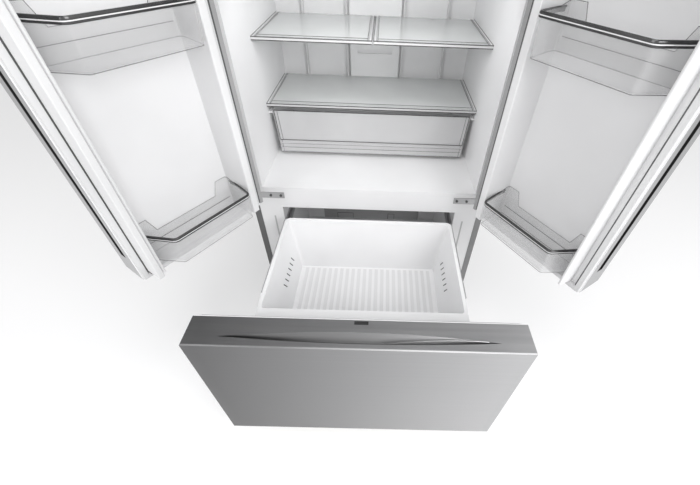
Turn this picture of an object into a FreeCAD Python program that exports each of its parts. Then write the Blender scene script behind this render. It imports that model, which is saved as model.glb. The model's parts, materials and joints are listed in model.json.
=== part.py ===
import FreeCAD, Part
import os
import re
from FreeCAD import Placement, Rotation, Vector

os.makedirs("parts", exist_ok=True)
doc = FreeCAD.newDocument("refrigerator")

# Driving dimensions, in millimetres, degrees or counts
DIMENSIONS = {
    # cabinet
    "cabinet_width": 908, "cabinet_depth": 640, "cabinet_top": 1750, "cabinet_bottom": 130,
    "steel": 1.5, "steel_lip": 24, "fit_gap": 0.4, "running_gap": 3,
    "overrun": 5,
    # fresh-food compartment
    "fresh_half_width": 403, "fresh_floor": 668, "fresh_ceiling": 1695, "fresh_depth": 580,
    "liner_wall": 2,
    # freezer compartment
    "freezer_half_width": 341, "freezer_ceiling": 575, "freezer_floor": 190, "freezer_depth": 560,
    "step_front": 400, "step_top": 312, "groove_width": 7, "groove_depth": 1, "groove_inset": 34,
    "groove_end_gap": 45,
    # machine compartment, feet and rollers
    "machine_front": 425, "machine_top": 290, "base_top": 40, "base_sheet": 3, "rail_wide": 36,
    "bracket_reach": 62, "bracket_back": 40, "bracket_wide": 44, "bracket_sheet": 6,
    "foot_radius": 19, "foot_disc": 12, "foot_stem": 6, "foot_forward": 36, "roller_radius": 19,
    "roller_wide": 22, "roller_axle": 5, "roller_setback": 60, "roller_inset": 60,
    # hinges and doors
    "door_gap": 2, "door_bottom": 648, "door_top": 1752, "door_thick": 90, "gasket": 12,
    "pivot_inset": 20, "pivot_forward": 55, "pin_radius": 5, "pin_reach": 14, "hinge_plate": 3,
    "hinge_leaf_long": 126, "hinge_leaf_drop": 15, "leaf_screw_share_near": 0.6, "leaf_screw_share_far": 0.9,
    "strap_screw_share_near": 0.3, "strap_screw_share_far": 0.7, "hinge_cover_high": 27,
    "hinge_cover_round": 6,
    "door_open": 123, "end_piece": 16, "dyke_top": 45, "dyke_hinge_inset": 57, "dyke_free_inset": 36,
    "dyke_wide": 28, "dyke_free_wide": 14, "dyke_draft": 3, "recess_back": 57,
    "gasket_inset": 4, "gasket_wide": 16,
    "dyke_low_inset": 25, "dyke_high_inset": 61, "recess_low_inset": 21, "dyke_round": 3.5,
    # door bins
    "bin_depth": 121, "bin_height": 98, "bin_wall": 2.5, "bin_low": 676, "bin_middle": 1205,
    "bin_high": 1470, "bin_chamfer": 38, "bin_hinge_chamfer": 16, "trim_height": 11,
    "trim_thick": 3, "bin_draft": 8, "bin_end_share": 0.33, "trim_end_share": 0.25,
    # door grip and centre flap
    "grip_wide": 26, "grip_deep": 20, "grip_setback": 34, "grip_low": 720, "grip_high": 1500,
    "flap_wide": 60, "flap_thick": 16, "flap_pin": 3, "flap_low_gap": 34, "flap_high_gap": 72,
    "flap_pivot_back": 9, "flap_heel": 7, "flap_round": 3, "flap_pivot_inset": 27, "flap_bore_gap": 0.2,
    "flap_end_gap": 1,
    # freezer drawer
    "drawer_top": 636, "drawer_bottom": 80, "drawer_out": 533, "scoop_half": 370, "scoop_wide": 34,
    "scoop_deep": 22, "scoop_setback": 17, "plate_wide": 38, "plate_deep": 10, "plate_thick": 1.2,
    "plate_setback": 4, "scoop_end_share": 0.35,
    "drawer_step": 20, "drawer_step_gap": 8,
    # freezer basket
    "basket_half": 312, "basket_front": 66, "basket_back": 478, "basket_top": 560,
    "basket_floor": 332, "basket_wall": 3, "basket_rim_overlap": 1, "basket_draft": 34, "basket_rim": 8,
    "basket_round": 12,
    "rib_count": 23, "rib_wide": 5, "rib_high": 2.2, "slot_count": 6, "slot_wide": 4,
    "slot_high": 26, "slot_pitch": 26, "slot_slant": 25, "slot_height_share": 0.42,
    # rails
    "rail_low": 470, "rail_high": 505, "rail_step": 8, "rail_gap": 0.5, "rail_back": 470,
    "rail_middle_share": 0.2, "rail_round_share": 0.33,
    # shelves and crisper
    "shelf_top": 891, "shelf_front": 232, "shelf_glass": 4, "shelf_frame": 10, "shelf_back": 562,
    "shelf_rail_wide": 14, "upper_shelf_one": 1130, "upper_shelf_two": 1400, "upper_front": 200,
    "crisper_front": 240, "crisper_back": 545, "crisper_floor": 684, "crisper_top": 862,
    "crisper_wall": 3.5, "crisper_side_gap": 16, "crisper_draft": 10,
    "crisper_lip": 11, "crisper_lip_high": 7, "crisper_band": 40,
    # air system
    "duct_half": 105, "duct_thick": 16, "duct_low": 740, "duct_high": 1600, "vent_count": 6,
    "vent_high": 7, "evaporator_half": 270, "evaporator_deep": 46, "evaporator_cover_sheet": 4,
    "evaporator_low": 330, "evaporator_high": 545, "lamp_half": 90, "lamp_deep": 60,
    "lamp_setback": 120, "lamp_thick": 6, "fan_radius": 52, "fan_hub": 16, "fan_thick": 18,
    "blade_count": 5, "blade_thick": 2, "blade_pitch": 30, "blade_chord_share": 1.6, "stub_share": 0.33,
    "fan_stand_off": 28.6, "outlet_share": 0.7, "grille_rows": 3, "grille_share": 0.125,
    "grille_near_share": 0.12,
    "grille_far_share": 0.36, "evaporator_fins": 21, "pass_low_share": 0.2, "pass_middle_share": 0.5,
    "pass_high_share": 0.8,
    "compressor_radius": 82, "compressor_high": 175, "crown_share": 0.7, "shoulder_share": 0.92,
    "shoulder_rise_share": 0.4, "dome_share": 0.33, "condenser_long": 250, "condenser_deep": 120,
    "tube_front_share": 0.25, "tube_back_share": 0.75,
    "condenser_high": 150, "fin_count": 16, "fin_thick": 2, "tube_radius": 4, "pan_high": 34,
    "screw_radius": 5, "screw_high": 2.5, "cover_columns": 14, "cover_slot_share": 0.6,
}

sheet = doc.addObject("Spreadsheet::Sheet", "Sizes")
for row, (alias, value) in enumerate(DIMENSIONS.items(), start=1):
    sheet.set("A%d" % row, alias)
    sheet.set("B%d" % row, str(value))
    sheet.setAlias("B%d" % row, alias)
doc.recompute()


def size(alias):
    """Read one driving dimension from the sheet."""
    return float(getattr(sheet, alias))


def bound(text):
    """Turn words that name cells into references to the sheet."""
    return re.sub(r"[a-z_]+", lambda m: "Sizes." + m.group() if m.group() in DIMENSIONS else m.group(), text)


# Places worked out from the driving dimensions, as text that the sheet can read
HALF = "(cabinet_width / 2)"
INNER = "(cabinet_width / 2 - steel)"
DOOR_LEFT = "(0 - cabinet_width / 2)"
DOOR_RIGHT = "(0 - door_gap)"
FRONT = "(0 - gasket - door_thick)"
BACK_OF_DOOR = "(0 - gasket)"
PASS_SHARES = ("pass_low_share", "pass_middle_share", "pass_high_share")


def box(name, x_from, x_to, y_from, y_to, z_from, z_to):
    solid = doc.addObject("Part::Box", name)
    solid.setExpression("Length", bound("(%s) - (%s)" % (x_to, x_from)))
    solid.setExpression("Width", bound("(%s) - (%s)" % (y_to, y_from)))
    solid.setExpression("Height", bound("(%s) - (%s)" % (z_to, z_from)))
    for axis, place in zip("xyz", (x_from, y_from, z_from)):
        solid.setExpression("Placement.Base." + axis, bound("0 + (%s)" % place))
    return solid


TURNS = {"z": Rotation(), "x": Rotation(Vector(0, 1, 0), 90), "y": Rotation(Vector(1, 0, 0), -90)}


def cylinder(name, radius, length, x, y, z, along="z"):
    solid = doc.addObject("Part::Cylinder", name)
    solid.Placement = Placement(Vector(), TURNS[along])
    solid.setExpression("Radius", bound("0 + (%s)" % radius))
    solid.setExpression("Height", bound("0 + (%s)" % length))
    for axis, place in zip("xyz", (x, y, z)):
        solid.setExpression("Placement.Base." + axis, bound("0 + (%s)" % place))
    return solid


def fuse(name, solids):
    joined = doc.addObject("Part::MultiFuse", name)
    joined.Shapes = list(solids)
    joined.Refine = True
    return joined


def cut(name, base, tools):
    result = doc.addObject("Part::Cut", name)
    result.Base = base
    result.Tool = tools[0] if len(tools) == 1 else fuse(name + "_tools", tools)
    result.Refine = True
    return result


def group(name, solids):
    """Separate solids that share one node."""
    whole = doc.addObject("Part::Compound", name)
    whole.Links = list(solids)
    return whole


def mirrored(name, source):
    """The same piece on the other side of the cabinet."""
    other = doc.addObject("Part::Mirroring", name)
    other.Source = source
    other.Normal = Vector(1, 0, 0)
    return other


def pair(name, source):
    return group(name, [source, mirrored(name + "_right", source)])


def feature(name, shape):
    made = doc.addObject("Part::Feature", name)
    made.Shape = shape
    return made


def rectangle(x_from, x_to, z_from, z_to, y):
    return Part.makePolygon([Vector(x_from, y, z_from), Vector(x_to, y, z_from),
                             Vector(x_to, y, z_to), Vector(x_from, y, z_to), Vector(x_from, y, z_from)])


def prism(points, z_from, z_to):
    """Upright prism on a plan outline."""
    outline = [Vector(x, y, z_from) for x, y in points]
    face = Part.Face(Part.makePolygon(outline + outline[:1]))
    return face.extrude(Vector(0, 0, z_to - z_from))


def tapered(points_low, points_high, z_from, z_to):
    """Ruled loft between two plan outlines of equal count."""
    low = [Vector(x, y, z_from) for x, y in points_low]
    high = [Vector(x, y, z_to) for x, y in points_high]
    return Part.makeLoft([Part.makePolygon(low + low[:1]), Part.makePolygon(high + high[:1])], True, True)


def turned(name, outline):
    """A body of revolution about the vertical axis; outline points are (radius, height)."""
    body = doc.addObject("PartDesign::Body", name)
    sketch = body.newObject("Sketcher::SketchObject", name + "_outline")
    plane = [f for f in body.Origin.OriginFeatures if f.Role == "XZ_Plane"][0]
    sketch.AttachmentSupport = [(plane, "")]
    sketch.MapMode = "FlatFace"
    points = [Vector(r, h, 0) for r, h in outline]
    for start, end in zip(points, points[1:] + points[:1]):
        sketch.addGeometry(Part.LineSegment(start, end))
    turn = body.newObject("PartDesign::Revolution", name + "_turn")
    turn.Profile = sketch
    turn.ReferenceAxis = (sketch, ["V_Axis"])
    turn.Angle = 360
    body.Tip = turn
    return body


nodes = {}
swinging = {}
sliding = {}


def node(label, source):
    nodes[label] = source


def door_node(label, source):
    """A piece of the left door, drawn closed; the right door gets its mirror image."""
    swinging[label] = source


def drawer_node(label, source):
    sliding[label] = source


# Cabinet: steel wrap with a front lip, foam, two liners, divider and back panel

def cabinet():
    outer = box("wrap_outer", "0 - " + HALF, HALF, "0", "cabinet_depth - steel", "cabinet_bottom",
                "cabinet_top")
    inner = box("wrap_inner", "0 - " + INNER, INNER, "steel", "cabinet_depth + overrun",
                "cabinet_bottom - overrun", "cabinet_top - steel")
    window = box("wrap_window", "0 - %s + steel_lip" % HALF, HALF + " - steel_lip", "0 - overrun",
                 "steel + overrun", "cabinet_bottom - overrun", "cabinet_top - steel_lip")
    node("cabinet_shell", cut("cabinet_shell", outer, [inner, window]))

    block = box("foam_block", "0 - " + INNER, INNER, "steel + liner_wall", "cabinet_depth - steel",
                "cabinet_bottom", "cabinet_top - steel")
    fresh = box("foam_fresh", "0 - fresh_half_width - liner_wall", "fresh_half_width + liner_wall",
                "0", "fresh_depth + liner_wall", "fresh_floor - liner_wall", "fresh_ceiling + liner_wall")
    freezer = box("foam_freezer", "0 - freezer_half_width - liner_wall", "freezer_half_width + liner_wall",
                  "0", "step_front + liner_wall", "freezer_floor - liner_wall",
                  "freezer_ceiling + liner_wall")
    shelf = box("foam_step", "0 - freezer_half_width - liner_wall", "freezer_half_width + liner_wall",
                "0", "freezer_depth + liner_wall", "step_top - liner_wall", "freezer_ceiling + liner_wall")
    machine = box("foam_machine", "0 - cabinet_width", "cabinet_width", "machine_front",
                  "cabinet_depth + overrun", "cabinet_bottom - overrun", "machine_top")
    node("cabinet_insulation", cut("cabinet_insulation", block, [fresh, freezer, shelf, machine]))

    node("back_panel", box("back_panel", "0 - " + HALF, HALF, "cabinet_depth - steel", "cabinet_depth",
                           "machine_top", "cabinet_top"))

    # fresh-food liner with its front flange
    shell = box("fresh_outer", "0 - fresh_half_width - liner_wall", "fresh_half_width + liner_wall",
                "steel", "fresh_depth + liner_wall", "fresh_floor - liner_wall", "fresh_ceiling + liner_wall")
    flange = box("fresh_flange", "0 - " + INNER, INNER, "steel", "steel + liner_wall",
                 "fresh_floor - liner_wall", "cabinet_top - steel")
    hollow = box("fresh_hollow", "0 - fresh_half_width", "fresh_half_width", "0 - overrun", "fresh_depth",
                 "fresh_floor", "fresh_ceiling")
    runner = box("fresh_runner", "0 - fresh_half_width",
                 "0 - fresh_half_width + crisper_side_gap - running_gap",
                 "crisper_front + overrun", "shelf_back", "crisper_top - crisper_lip_high - crisper_lip_high",
                 "crisper_top - crisper_lip_high")
    ledge = box("fresh_ledge", "0 - fresh_half_width", "0 - fresh_half_width + shelf_rail_wide",
                "shelf_front + shelf_rail_wide", "shelf_back", "shelf_top - shelf_frame - shelf_glass",
                "shelf_top - shelf_frame")
    body = cut("fresh_shell", fuse("fresh_solid", [shell, flange]), [hollow])
    node("fresh_food_liner", fuse("fresh_food_liner", [body, runner, mirrored("fresh_runner_right", runner),
                                                       ledge, mirrored("fresh_ledge_right", ledge)]))

    # freezer liner with its wide front frame and the long groove in each side of it
    low = box("freezer_outer_low", "0 - freezer_half_width - liner_wall", "freezer_half_width + liner_wall",
              "steel", "step_front + liner_wall", "freezer_floor - liner_wall",
              "freezer_ceiling + liner_wall")
    high = box("freezer_outer_high", "0 - freezer_half_width - liner_wall", "freezer_half_width + liner_wall",
               "steel", "freezer_depth + liner_wall", "step_top - liner_wall", "freezer_ceiling + liner_wall")
    frame = box("freezer_frame", "0 - " + INNER, INNER, "steel", "steel + liner_wall", "cabinet_bottom",
                "fresh_floor - liner_wall")
    low_hollow = box("freezer_hollow_low", "0 - freezer_half_width", "freezer_half_width", "0 - overrun",
                     "step_front", "freezer_floor", "freezer_ceiling")
    high_hollow = box("freezer_hollow_high", "0 - freezer_half_width", "freezer_half_width", "0 - overrun",
                      "freezer_depth", "step_top", "freezer_ceiling")
    groove = box("frame_groove", "0 - freezer_half_width - groove_inset - groove_width",
                 "0 - freezer_half_width - groove_inset", "steel - overrun", "steel + groove_depth",
                 "freezer_floor + groove_end_gap", "freezer_ceiling - groove_end_gap")
    node("freezer_liner", cut("freezer_liner", fuse("freezer_solid", [low, high, frame]),
                              [low_hollow, high_hollow, groove, mirrored("frame_groove_right", groove)]))

    node("divider_cover", box("divider_cover", "0 - %s + steel_lip" % HALF, HALF + " - steel_lip", "0",
                              "steel",
                              "freezer_ceiling", "fresh_floor"))


def base():
    rail = box("base_rail", "0 - " + HALF, "0 - %s + rail_wide" % HALF, "bracket_back",
               "cabinet_depth - steel", "base_top", "base_top + base_sheet")
    side = box("base_side", "0 - " + HALF, "0 - %s + base_sheet" % HALF, "bracket_back",
               "cabinet_depth - steel", "base_top", "cabinet_bottom")
    tray = box("base_tray", "0 - " + HALF, HALF, "machine_front", "cabinet_depth - steel", "base_top",
               "base_top + base_sheet")
    cross = box("base_cross", "0 - " + HALF, HALF, "bracket_back", "bracket_back + base_sheet", "base_top",
                "cabinet_bottom")
    fork = box("base_fork", "0 - %s + roller_inset - base_sheet - running_gap" % HALF,
               "0 - %s + roller_inset - running_gap" % HALF, "cabinet_depth - roller_setback - roller_radius",
               "cabinet_depth - roller_setback + roller_radius", "roller_radius - roller_axle - base_sheet",
               "base_top")
    fork_in = box("base_fork_in", "0 - %s + roller_inset + roller_wide + running_gap" % HALF,
                  "0 - %s + roller_inset + roller_wide + running_gap + base_sheet" % HALF,
                  "cabinet_depth - roller_setback - roller_radius",
                  "cabinet_depth - roller_setback + roller_radius",
                  "roller_radius - roller_axle - base_sheet",
                  "base_top")
    parts = [rail, side, fork, fork_in]
    hole = cylinder("base_axle_hole", "roller_axle + flap_bore_gap", "cabinet_width + overrun",
                    "0 - %s - overrun" % HALF, "cabinet_depth - roller_setback", "roller_radius", along="x")
    solid = fuse("base_solid", parts + [mirrored(p.Name + "_right", p) for p in parts] + [tray, cross])
    node("base_frame", cut("base_frame", solid, [hole]))

    # forward foot bracket: an angled steel foot under each front corner
    x_out = -size("cabinet_width") / 2 + size("bracket_sheet")
    x_in = x_out + size("bracket_wide")
    reach, back = -size("bracket_reach"), size("bracket_back")
    sheet_thick, foot_disc = size("bracket_sheet"), size("foot_disc")
    low, top = foot_disc + size("bracket_sheet"), size("cabinet_bottom") - size("fit_gap")
    knee_y, knee_z = -size("gasket") / 2, size("drawer_bottom") - size("running_gap")
    cheek = [Vector(x_out, reach, low), Vector(x_out, back, low), Vector(x_out, back, top),
             Vector(x_out, knee_y, top), Vector(x_out, knee_y, knee_z),
             Vector(x_out, 2 * knee_y, knee_z - sheet_thick),
             Vector(x_out, reach, low + 2 * sheet_thick)]
    face = Part.Face(Part.makePolygon(cheek + cheek[:1]))
    side_plate = face.extrude(Vector(sheet_thick, 0, 0))
    sole = prism([(x_out, reach), (x_in, reach), (x_in, back), (x_out, back)], low, low + sheet_thick)
    foot_x = x_in - size("foot_radius")
    foot_y = -size("foot_forward")
    bore = Part.makeCylinder(size("foot_stem") + size("fit_gap"), low + size("cabinet_bottom"),
                             Vector(foot_x, foot_y, 0))
    bracket = feature("foot_bracket", side_plate.fuse(sole).cut(bore).removeSplitter())
    node("foot_brackets", pair("foot_brackets", bracket))

    disc = [(0, 0), (size("foot_radius"), 0), (size("foot_radius"), foot_disc / 2),
            (size("foot_stem") * 2, foot_disc), (size("foot_stem"), foot_disc),
            (size("foot_stem"), low + size("bracket_back")), (0, low + size("bracket_back"))]
    for side_name, sign in (("left", 1), ("right", -1)):
        foot = turned("levelling_foot_" + side_name, disc)
        foot.Placement = Placement(Vector(sign * foot_x, foot_y, 0), Rotation())
        node("levelling_foot_" + side_name, foot)

    wheel = cylinder("roller_wheel", "roller_radius", "roller_wide", "0 - %s + roller_inset" % HALF,
                     "cabinet_depth - roller_setback", "roller_radius", along="x")
    axle = cylinder("roller_axle_rod", "roller_axle", "cabinet_width - 2 * base_sheet",
                    "0 - %s + base_sheet" % HALF, "cabinet_depth - roller_setback", "roller_radius",
                    along="x")
    node("rear_rollers", fuse("rear_rollers", [wheel, mirrored("roller_wheel_right", wheel), axle]))


def machine_room():
    y_mid = (size("machine_front") + size("cabinet_depth")) / 2
    floor = size("base_top") + size("base_sheet")
    radius, high = size("compressor_radius"), size("compressor_high")
    dome = radius * size("dome_share")
    crown, shoulder = radius * size("crown_share"), radius * size("shoulder_share")
    rise = dome * size("shoulder_rise_share")
    outline = [(0, 0), (crown, 0), (shoulder, rise), (radius, dome), (radius, high - dome),
               (shoulder, high - rise), (crown, high), (0, high)]
    pump = turned("compressor", outline)
    pump.Placement = Placement(Vector(size("cabinet_width") / 4, y_mid, floor), Rotation())
    node("compressor", pump)

    fins = []
    start = -size("cabinet_width") / 2 + size("rail_wide")
    pitch = size("condenser_long") / size("fin_count")
    y_low = y_mid - size("condenser_deep") / 2
    z_low = floor + size("pan_high") + size("running_gap")
    for i in range(int(size("fin_count"))):
        fins.append(Part.makeBox(size("fin_thick"), size("condenser_deep"), size("condenser_high"),
                                 Vector(start + i * pitch, y_low, z_low)))
    tubes = []
    for share_y in ("tube_front_share", "tube_back_share"):
        for share_z in PASS_SHARES:
            place = Vector(start - pitch / 2, y_low + size(share_y) * size("condenser_deep"),
                           z_low + size(share_z) * size("condenser_high"))
            tubes.append(Part.makeCylinder(size("tube_radius"), size("condenser_long") + pitch / 2, place,
                                           Vector(1, 0, 0)))
    legs = [Part.makeBox(size("fin_thick"), size("condenser_deep"), z_low - floor,
                         Vector(start + i * pitch, y_low, floor)) for i in (0, int(size("fin_count")) - 1)]
    node("condenser", feature("condenser", fins[0].multiFuse(fins[1:] + tubes + legs).removeSplitter()))

    pan_x = start + size("fin_thick") + size("running_gap")
    pan_long = (int(size("fin_count")) - 1) * pitch - size("fin_thick") - 2 * size("running_gap")
    tub = Part.makeBox(pan_long, size("condenser_deep"), size("pan_high"), Vector(pan_x, y_low, floor))
    wall = size("liner_wall")
    hollow = Part.makeBox(pan_long - 2 * wall, size("condenser_deep") - 2 * wall, size("pan_high"),
                          Vector(pan_x + wall, y_low + wall, floor + wall))
    node("drain_pan", feature("drain_pan", tub.cut(hollow)))

    # fan between condenser and compressor, on a bracket that stands on the base tray
    fan_x = start + size("condenser_long") + size("fan_radius")
    fan_z = z_low + size("condenser_high") / 2
    half = size("fan_radius") + size("running_gap") + wall
    ring = Part.makeBox(size("fan_thick"), 2 * half, fan_z + half - floor,
                        Vector(fan_x - size("fan_thick") / 2, y_mid - half, floor))
    hole = Part.makeCylinder(size("fan_radius") + size("running_gap"), 2 * size("fan_thick"),
                             Vector(fan_x - size("fan_thick"), y_mid, fan_z), Vector(1, 0, 0))
    arm = Part.makeBox(2 * wall, 2 * half, 4 * wall,
                       Vector(fan_x + size("fan_thick") / 2, y_mid - half, fan_z - 2 * wall))
    stub = Part.makeCylinder(size("fan_hub") * size("stub_share"), size("fan_thick") / 2 + wall,
                             Vector(fan_x, y_mid, fan_z), Vector(1, 0, 0))
    node("fan_bracket", feature("fan_bracket", ring.cut(hole).fuse([arm, stub]).removeSplitter()))
    node("condenser_fan", feature("condenser_fan", fan(Vector(fan_x, y_mid, fan_z), Vector(1, 0, 0))))

    # perforated cover over the machine compartment
    panel = Part.makeBox(size("cabinet_width"), size("steel"), size("machine_top") - size("base_top"),
                         Vector(-size("cabinet_width") / 2, size("cabinet_depth") - size("steel"),
                                size("base_top")))
    slots = []
    columns = int(size("cover_columns"))
    step_x = size("cabinet_width") / (columns + 2)
    slot_long = step_x * size("cover_slot_share")
    for i in range(columns):
        for j in range(int(size("vent_count"))):
            slots.append(Part.makeBox(slot_long, 3 * size("steel"), size("vent_high"),
                         Vector(-size("cabinet_width") / 2 + (i + 1) * step_x + (step_x - slot_long) / 2,
                                size("cabinet_depth") - 2 * size("steel"),
                                size("base_top") + (j + 2) * 3 * size("vent_high"))))
    node("rear_cover", feature("rear_cover", panel.cut(slots)))


def fan(centre, axis):
    """Hub and pitched blades, with a bore for its stub shaft."""
    thick, hub = size("fan_thick"), size("fan_hub")
    core = Part.makeCylinder(hub, thick, Vector(-thick / 2, 0, 0), Vector(1, 0, 0))
    blades = []
    chord = hub * size("blade_chord_share")
    for i in range(int(size("blade_count"))):
        blade = Part.makeBox(size("blade_thick"), chord, size("fan_radius") - hub / 2,
                             Vector(-size("blade_thick") / 2, -chord / 2, hub / 2))
        blade.rotate(Vector(), Vector(0, 0, 1), size("blade_pitch"))
        blade.rotate(Vector(), Vector(1, 0, 0), 360 * i / size("blade_count"))
        blades.append(blade)
    rim = Part.makeCylinder(size("fan_radius"), thick * 2, Vector(-thick, 0, 0), Vector(1, 0, 0))
    bore = Part.makeCylinder(hub * size("stub_share") + size("flap_bore_gap"), thick, Vector(0, 0, 0),
                             Vector(1, 0, 0))
    whole = core.multiFuse(blades).common(rim).cut(bore).removeSplitter()
    whole.Placement = Placement(centre, Rotation(Vector(1, 0, 0), axis))
    return whole


def air_system():
    cover_y = size("freezer_depth") - size("evaporator_deep") - size("evaporator_cover_sheet")
    node("evaporator", feature("evaporator", evaporator(cover_y)))
    half, thin = size("freezer_half_width"), size("evaporator_cover_sheet")
    panel = Part.makeBox(2 * half, thin, size("freezer_ceiling") - size("step_top"),
                         Vector(-half, cover_y, size("step_top")))
    grilles = []
    far, near, long = (2 * half * size(name) for name in ("grille_far_share", "grille_near_share",
                                                          "grille_share"))
    for centre in (-far, -near, near, far):
        for j in range(int(size("grille_rows"))):
            grilles.append(Part.makeBox(long, 3 * thin, size("vent_high"),
                           Vector(centre - long / 2, cover_y - thin,
                                  size("freezer_ceiling") - (j + 2) * 2 * size("vent_high"))))
    behind, thick, hub = cover_y + thin, size("fan_thick"), size("fan_hub")
    centre = Vector(0, behind + size("fan_stand_off"), size("evaporator_high") - size("fan_radius"))
    motor = Part.makeCylinder(hub, thick, Vector(0, behind, centre.z), Vector(0, 1, 0))
    stub = Part.makeCylinder(hub * size("stub_share"), size("fan_stand_off") - size("fit_gap"),
                             Vector(0, behind, centre.z), Vector(0, 1, 0))
    cover = panel.cut(grilles).fuse([motor, stub]).removeSplitter()
    node("evaporator_cover", feature("evaporator_cover", cover))
    node("evaporator_fan", feature("evaporator_fan", fan(centre, Vector(0, -1, 0))))

    duct = box("duct_plate", "0 - duct_half", "duct_half", "fresh_depth - duct_thick", "fresh_depth",
               "duct_low", "duct_high")
    outlets = []
    for i in range(int(size("vent_count"))):
        low = "duct_low + (duct_high - duct_low) * %d / (vent_count + 1)" % (i + 1)
        outlets.append(box("duct_outlet_%d" % i, "0 - duct_half * outlet_share", "duct_half * outlet_share",
                           "fresh_depth - duct_thick - overrun", "fresh_depth - duct_thick / 2", low,
                           low + " + 2 * vent_high"))
    node("air_duct", cut("air_duct", duct, outlets))
    node("lamp_lens", box("lamp_lens", "0 - lamp_half", "lamp_half", "lamp_setback",
                          "lamp_setback + lamp_deep",
                          "fresh_ceiling - lamp_thick", "fresh_ceiling"))


def evaporator(cover_y):
    """Fin stack on three tube passes with room for the fan in the middle of its top."""
    count = int(size("evaporator_fins"))
    half, pitch = size("evaporator_half"), 2 * size("evaporator_half") / (count - 1)
    y_low = cover_y + size("evaporator_cover_sheet") + size("running_gap")
    deep = size("freezer_depth") - y_low
    top = size("evaporator_high") - 2 * size("fan_radius") - 2 * size("running_gap")
    fins = [Part.makeBox(size("fin_thick"), deep, top - size("evaporator_low"),
                         Vector(-half + i * pitch, y_low, size("evaporator_low"))) for i in range(count)]
    tubes = [Part.makeCylinder(size("tube_radius"), 2 * half, Vector(-half, y_low + deep / 2,
             size("evaporator_low") + size(share) * (top - size("evaporator_low"))), Vector(1, 0, 0))
             for share in PASS_SHARES]
    return fins[0].multiFuse(fins[1:] + tubes).removeSplitter()


def shelf(name, x_from, x_to, y_from, top):
    """One glass plate and the frame that it lies in."""
    glass = box(name + "_glass", x_from + " + shelf_rail_wide / 2", x_to + " - shelf_rail_wide / 2",
                y_from + " + shelf_rail_wide / 2", "shelf_back", top + " - shelf_glass", top)
    whole = box(name + "_solid", x_from, x_to, y_from, "shelf_back", top + " - shelf_frame", top)
    seat = box(name + "_seat", x_from + " + shelf_rail_wide / 2", x_to + " - shelf_rail_wide / 2",
               y_from + " + shelf_rail_wide / 2", "shelf_back + overrun", top + " - shelf_glass",
               top + " + overrun")
    window = box(name + "_window", x_from + " + shelf_rail_wide", x_to + " - shelf_rail_wide",
                 y_from + " + 2 * shelf_rail_wide", "shelf_back - shelf_rail_wide",
                 top + " - shelf_frame - overrun", top + " + overrun")
    return glass, cut(name + "_frame", whole, [seat, window])


def shelves():
    edge = "fresh_half_width - fit_gap"
    glass, frame = shelf("crisper_shelf", "0 - fresh_half_width + fit_gap", edge, "shelf_front", "shelf_top")
    node("crisper_shelf_glass", glass)
    node("crisper_shelf_frame", frame)
    panes, frames = [], []
    for level in ("upper_shelf_one", "upper_shelf_two"):
        pane, rim = shelf(level + "_left", "0 - fresh_half_width + fit_gap", "0 - running_gap",
                          "upper_front", level)
        panes += [pane, mirrored(pane.Name + "_right", pane)]
        frames += [rim, mirrored(rim.Name + "_right", rim)]
    node("upper_shelf_glass", group("upper_shelf_glass", panes))
    node("upper_shelf_frames", group("upper_shelf_frames", frames))

    track = box("shelf_track", "0 - fresh_half_width + duct_half",
                "0 - fresh_half_width + duct_half + rail_step",
                "shelf_back + fit_gap", "fresh_depth", "duct_low", "duct_high")
    centre_track = box("shelf_track_centre", "duct_half + rail_step", "duct_half + 2 * rail_step",
                       "shelf_back + fit_gap", "fresh_depth", "duct_low", "duct_high")
    node("shelf_tracks", group("shelf_tracks", [track, mirrored("shelf_track_right", track), centre_track,
                                                mirrored("shelf_track_centre_left", centre_track)]))

    # crisper drawer: a clear tub that hangs on its side lips
    half = size("fresh_half_width") - size("crisper_side_gap")
    front, back = size("crisper_front"), size("crisper_back")
    low, top = size("crisper_floor"), size("crisper_top")
    wall, draft = size("crisper_wall"), size("crisper_draft")

    def corners(inset, drawn):
        side, rear = half - inset - drawn, back - inset - drawn
        return [(-side, front + inset), (side, front + inset), (side, rear), (-side, rear)]

    tub = tapered(corners(0, draft), corners(0, 0), low, top)
    hollow = tapered(corners(wall, draft), corners(wall, 0), low + wall, top + size("overrun"))
    lip = size("crisper_lip")
    lips = [prism([(s * half, front + lip), (s * (half + lip), front + lip), (s * (half + lip), back),
                   (s * half, back)], top - size("crisper_lip_high") + size("rail_gap"), top)
            for s in (-1, 1)]
    rib = Part.makeBox(2 * half - 2 * draft, wall, wall,
                       Vector(-half + draft, front - wall, low + size("crisper_band")))
    node("crisper_drawer", feature("crisper_drawer", tub.cut(hollow).fuse(lips + [rib]).removeSplitter()))


# Door pieces, drawn closed on the left side

def door_outline(inset_hinge, inset_free, inset_low, inset_high):
    x_from = -size("cabinet_width") / 2 + inset_hinge
    x_to = -size("door_gap") - inset_free
    return x_from, x_to, size("door_bottom") + inset_low, size("door_top") - inset_high


def frustum(near, far, y_near, y_far):
    return Part.makeLoft([rectangle(*near, y_near), rectangle(*far, y_far)], True, True)


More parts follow.
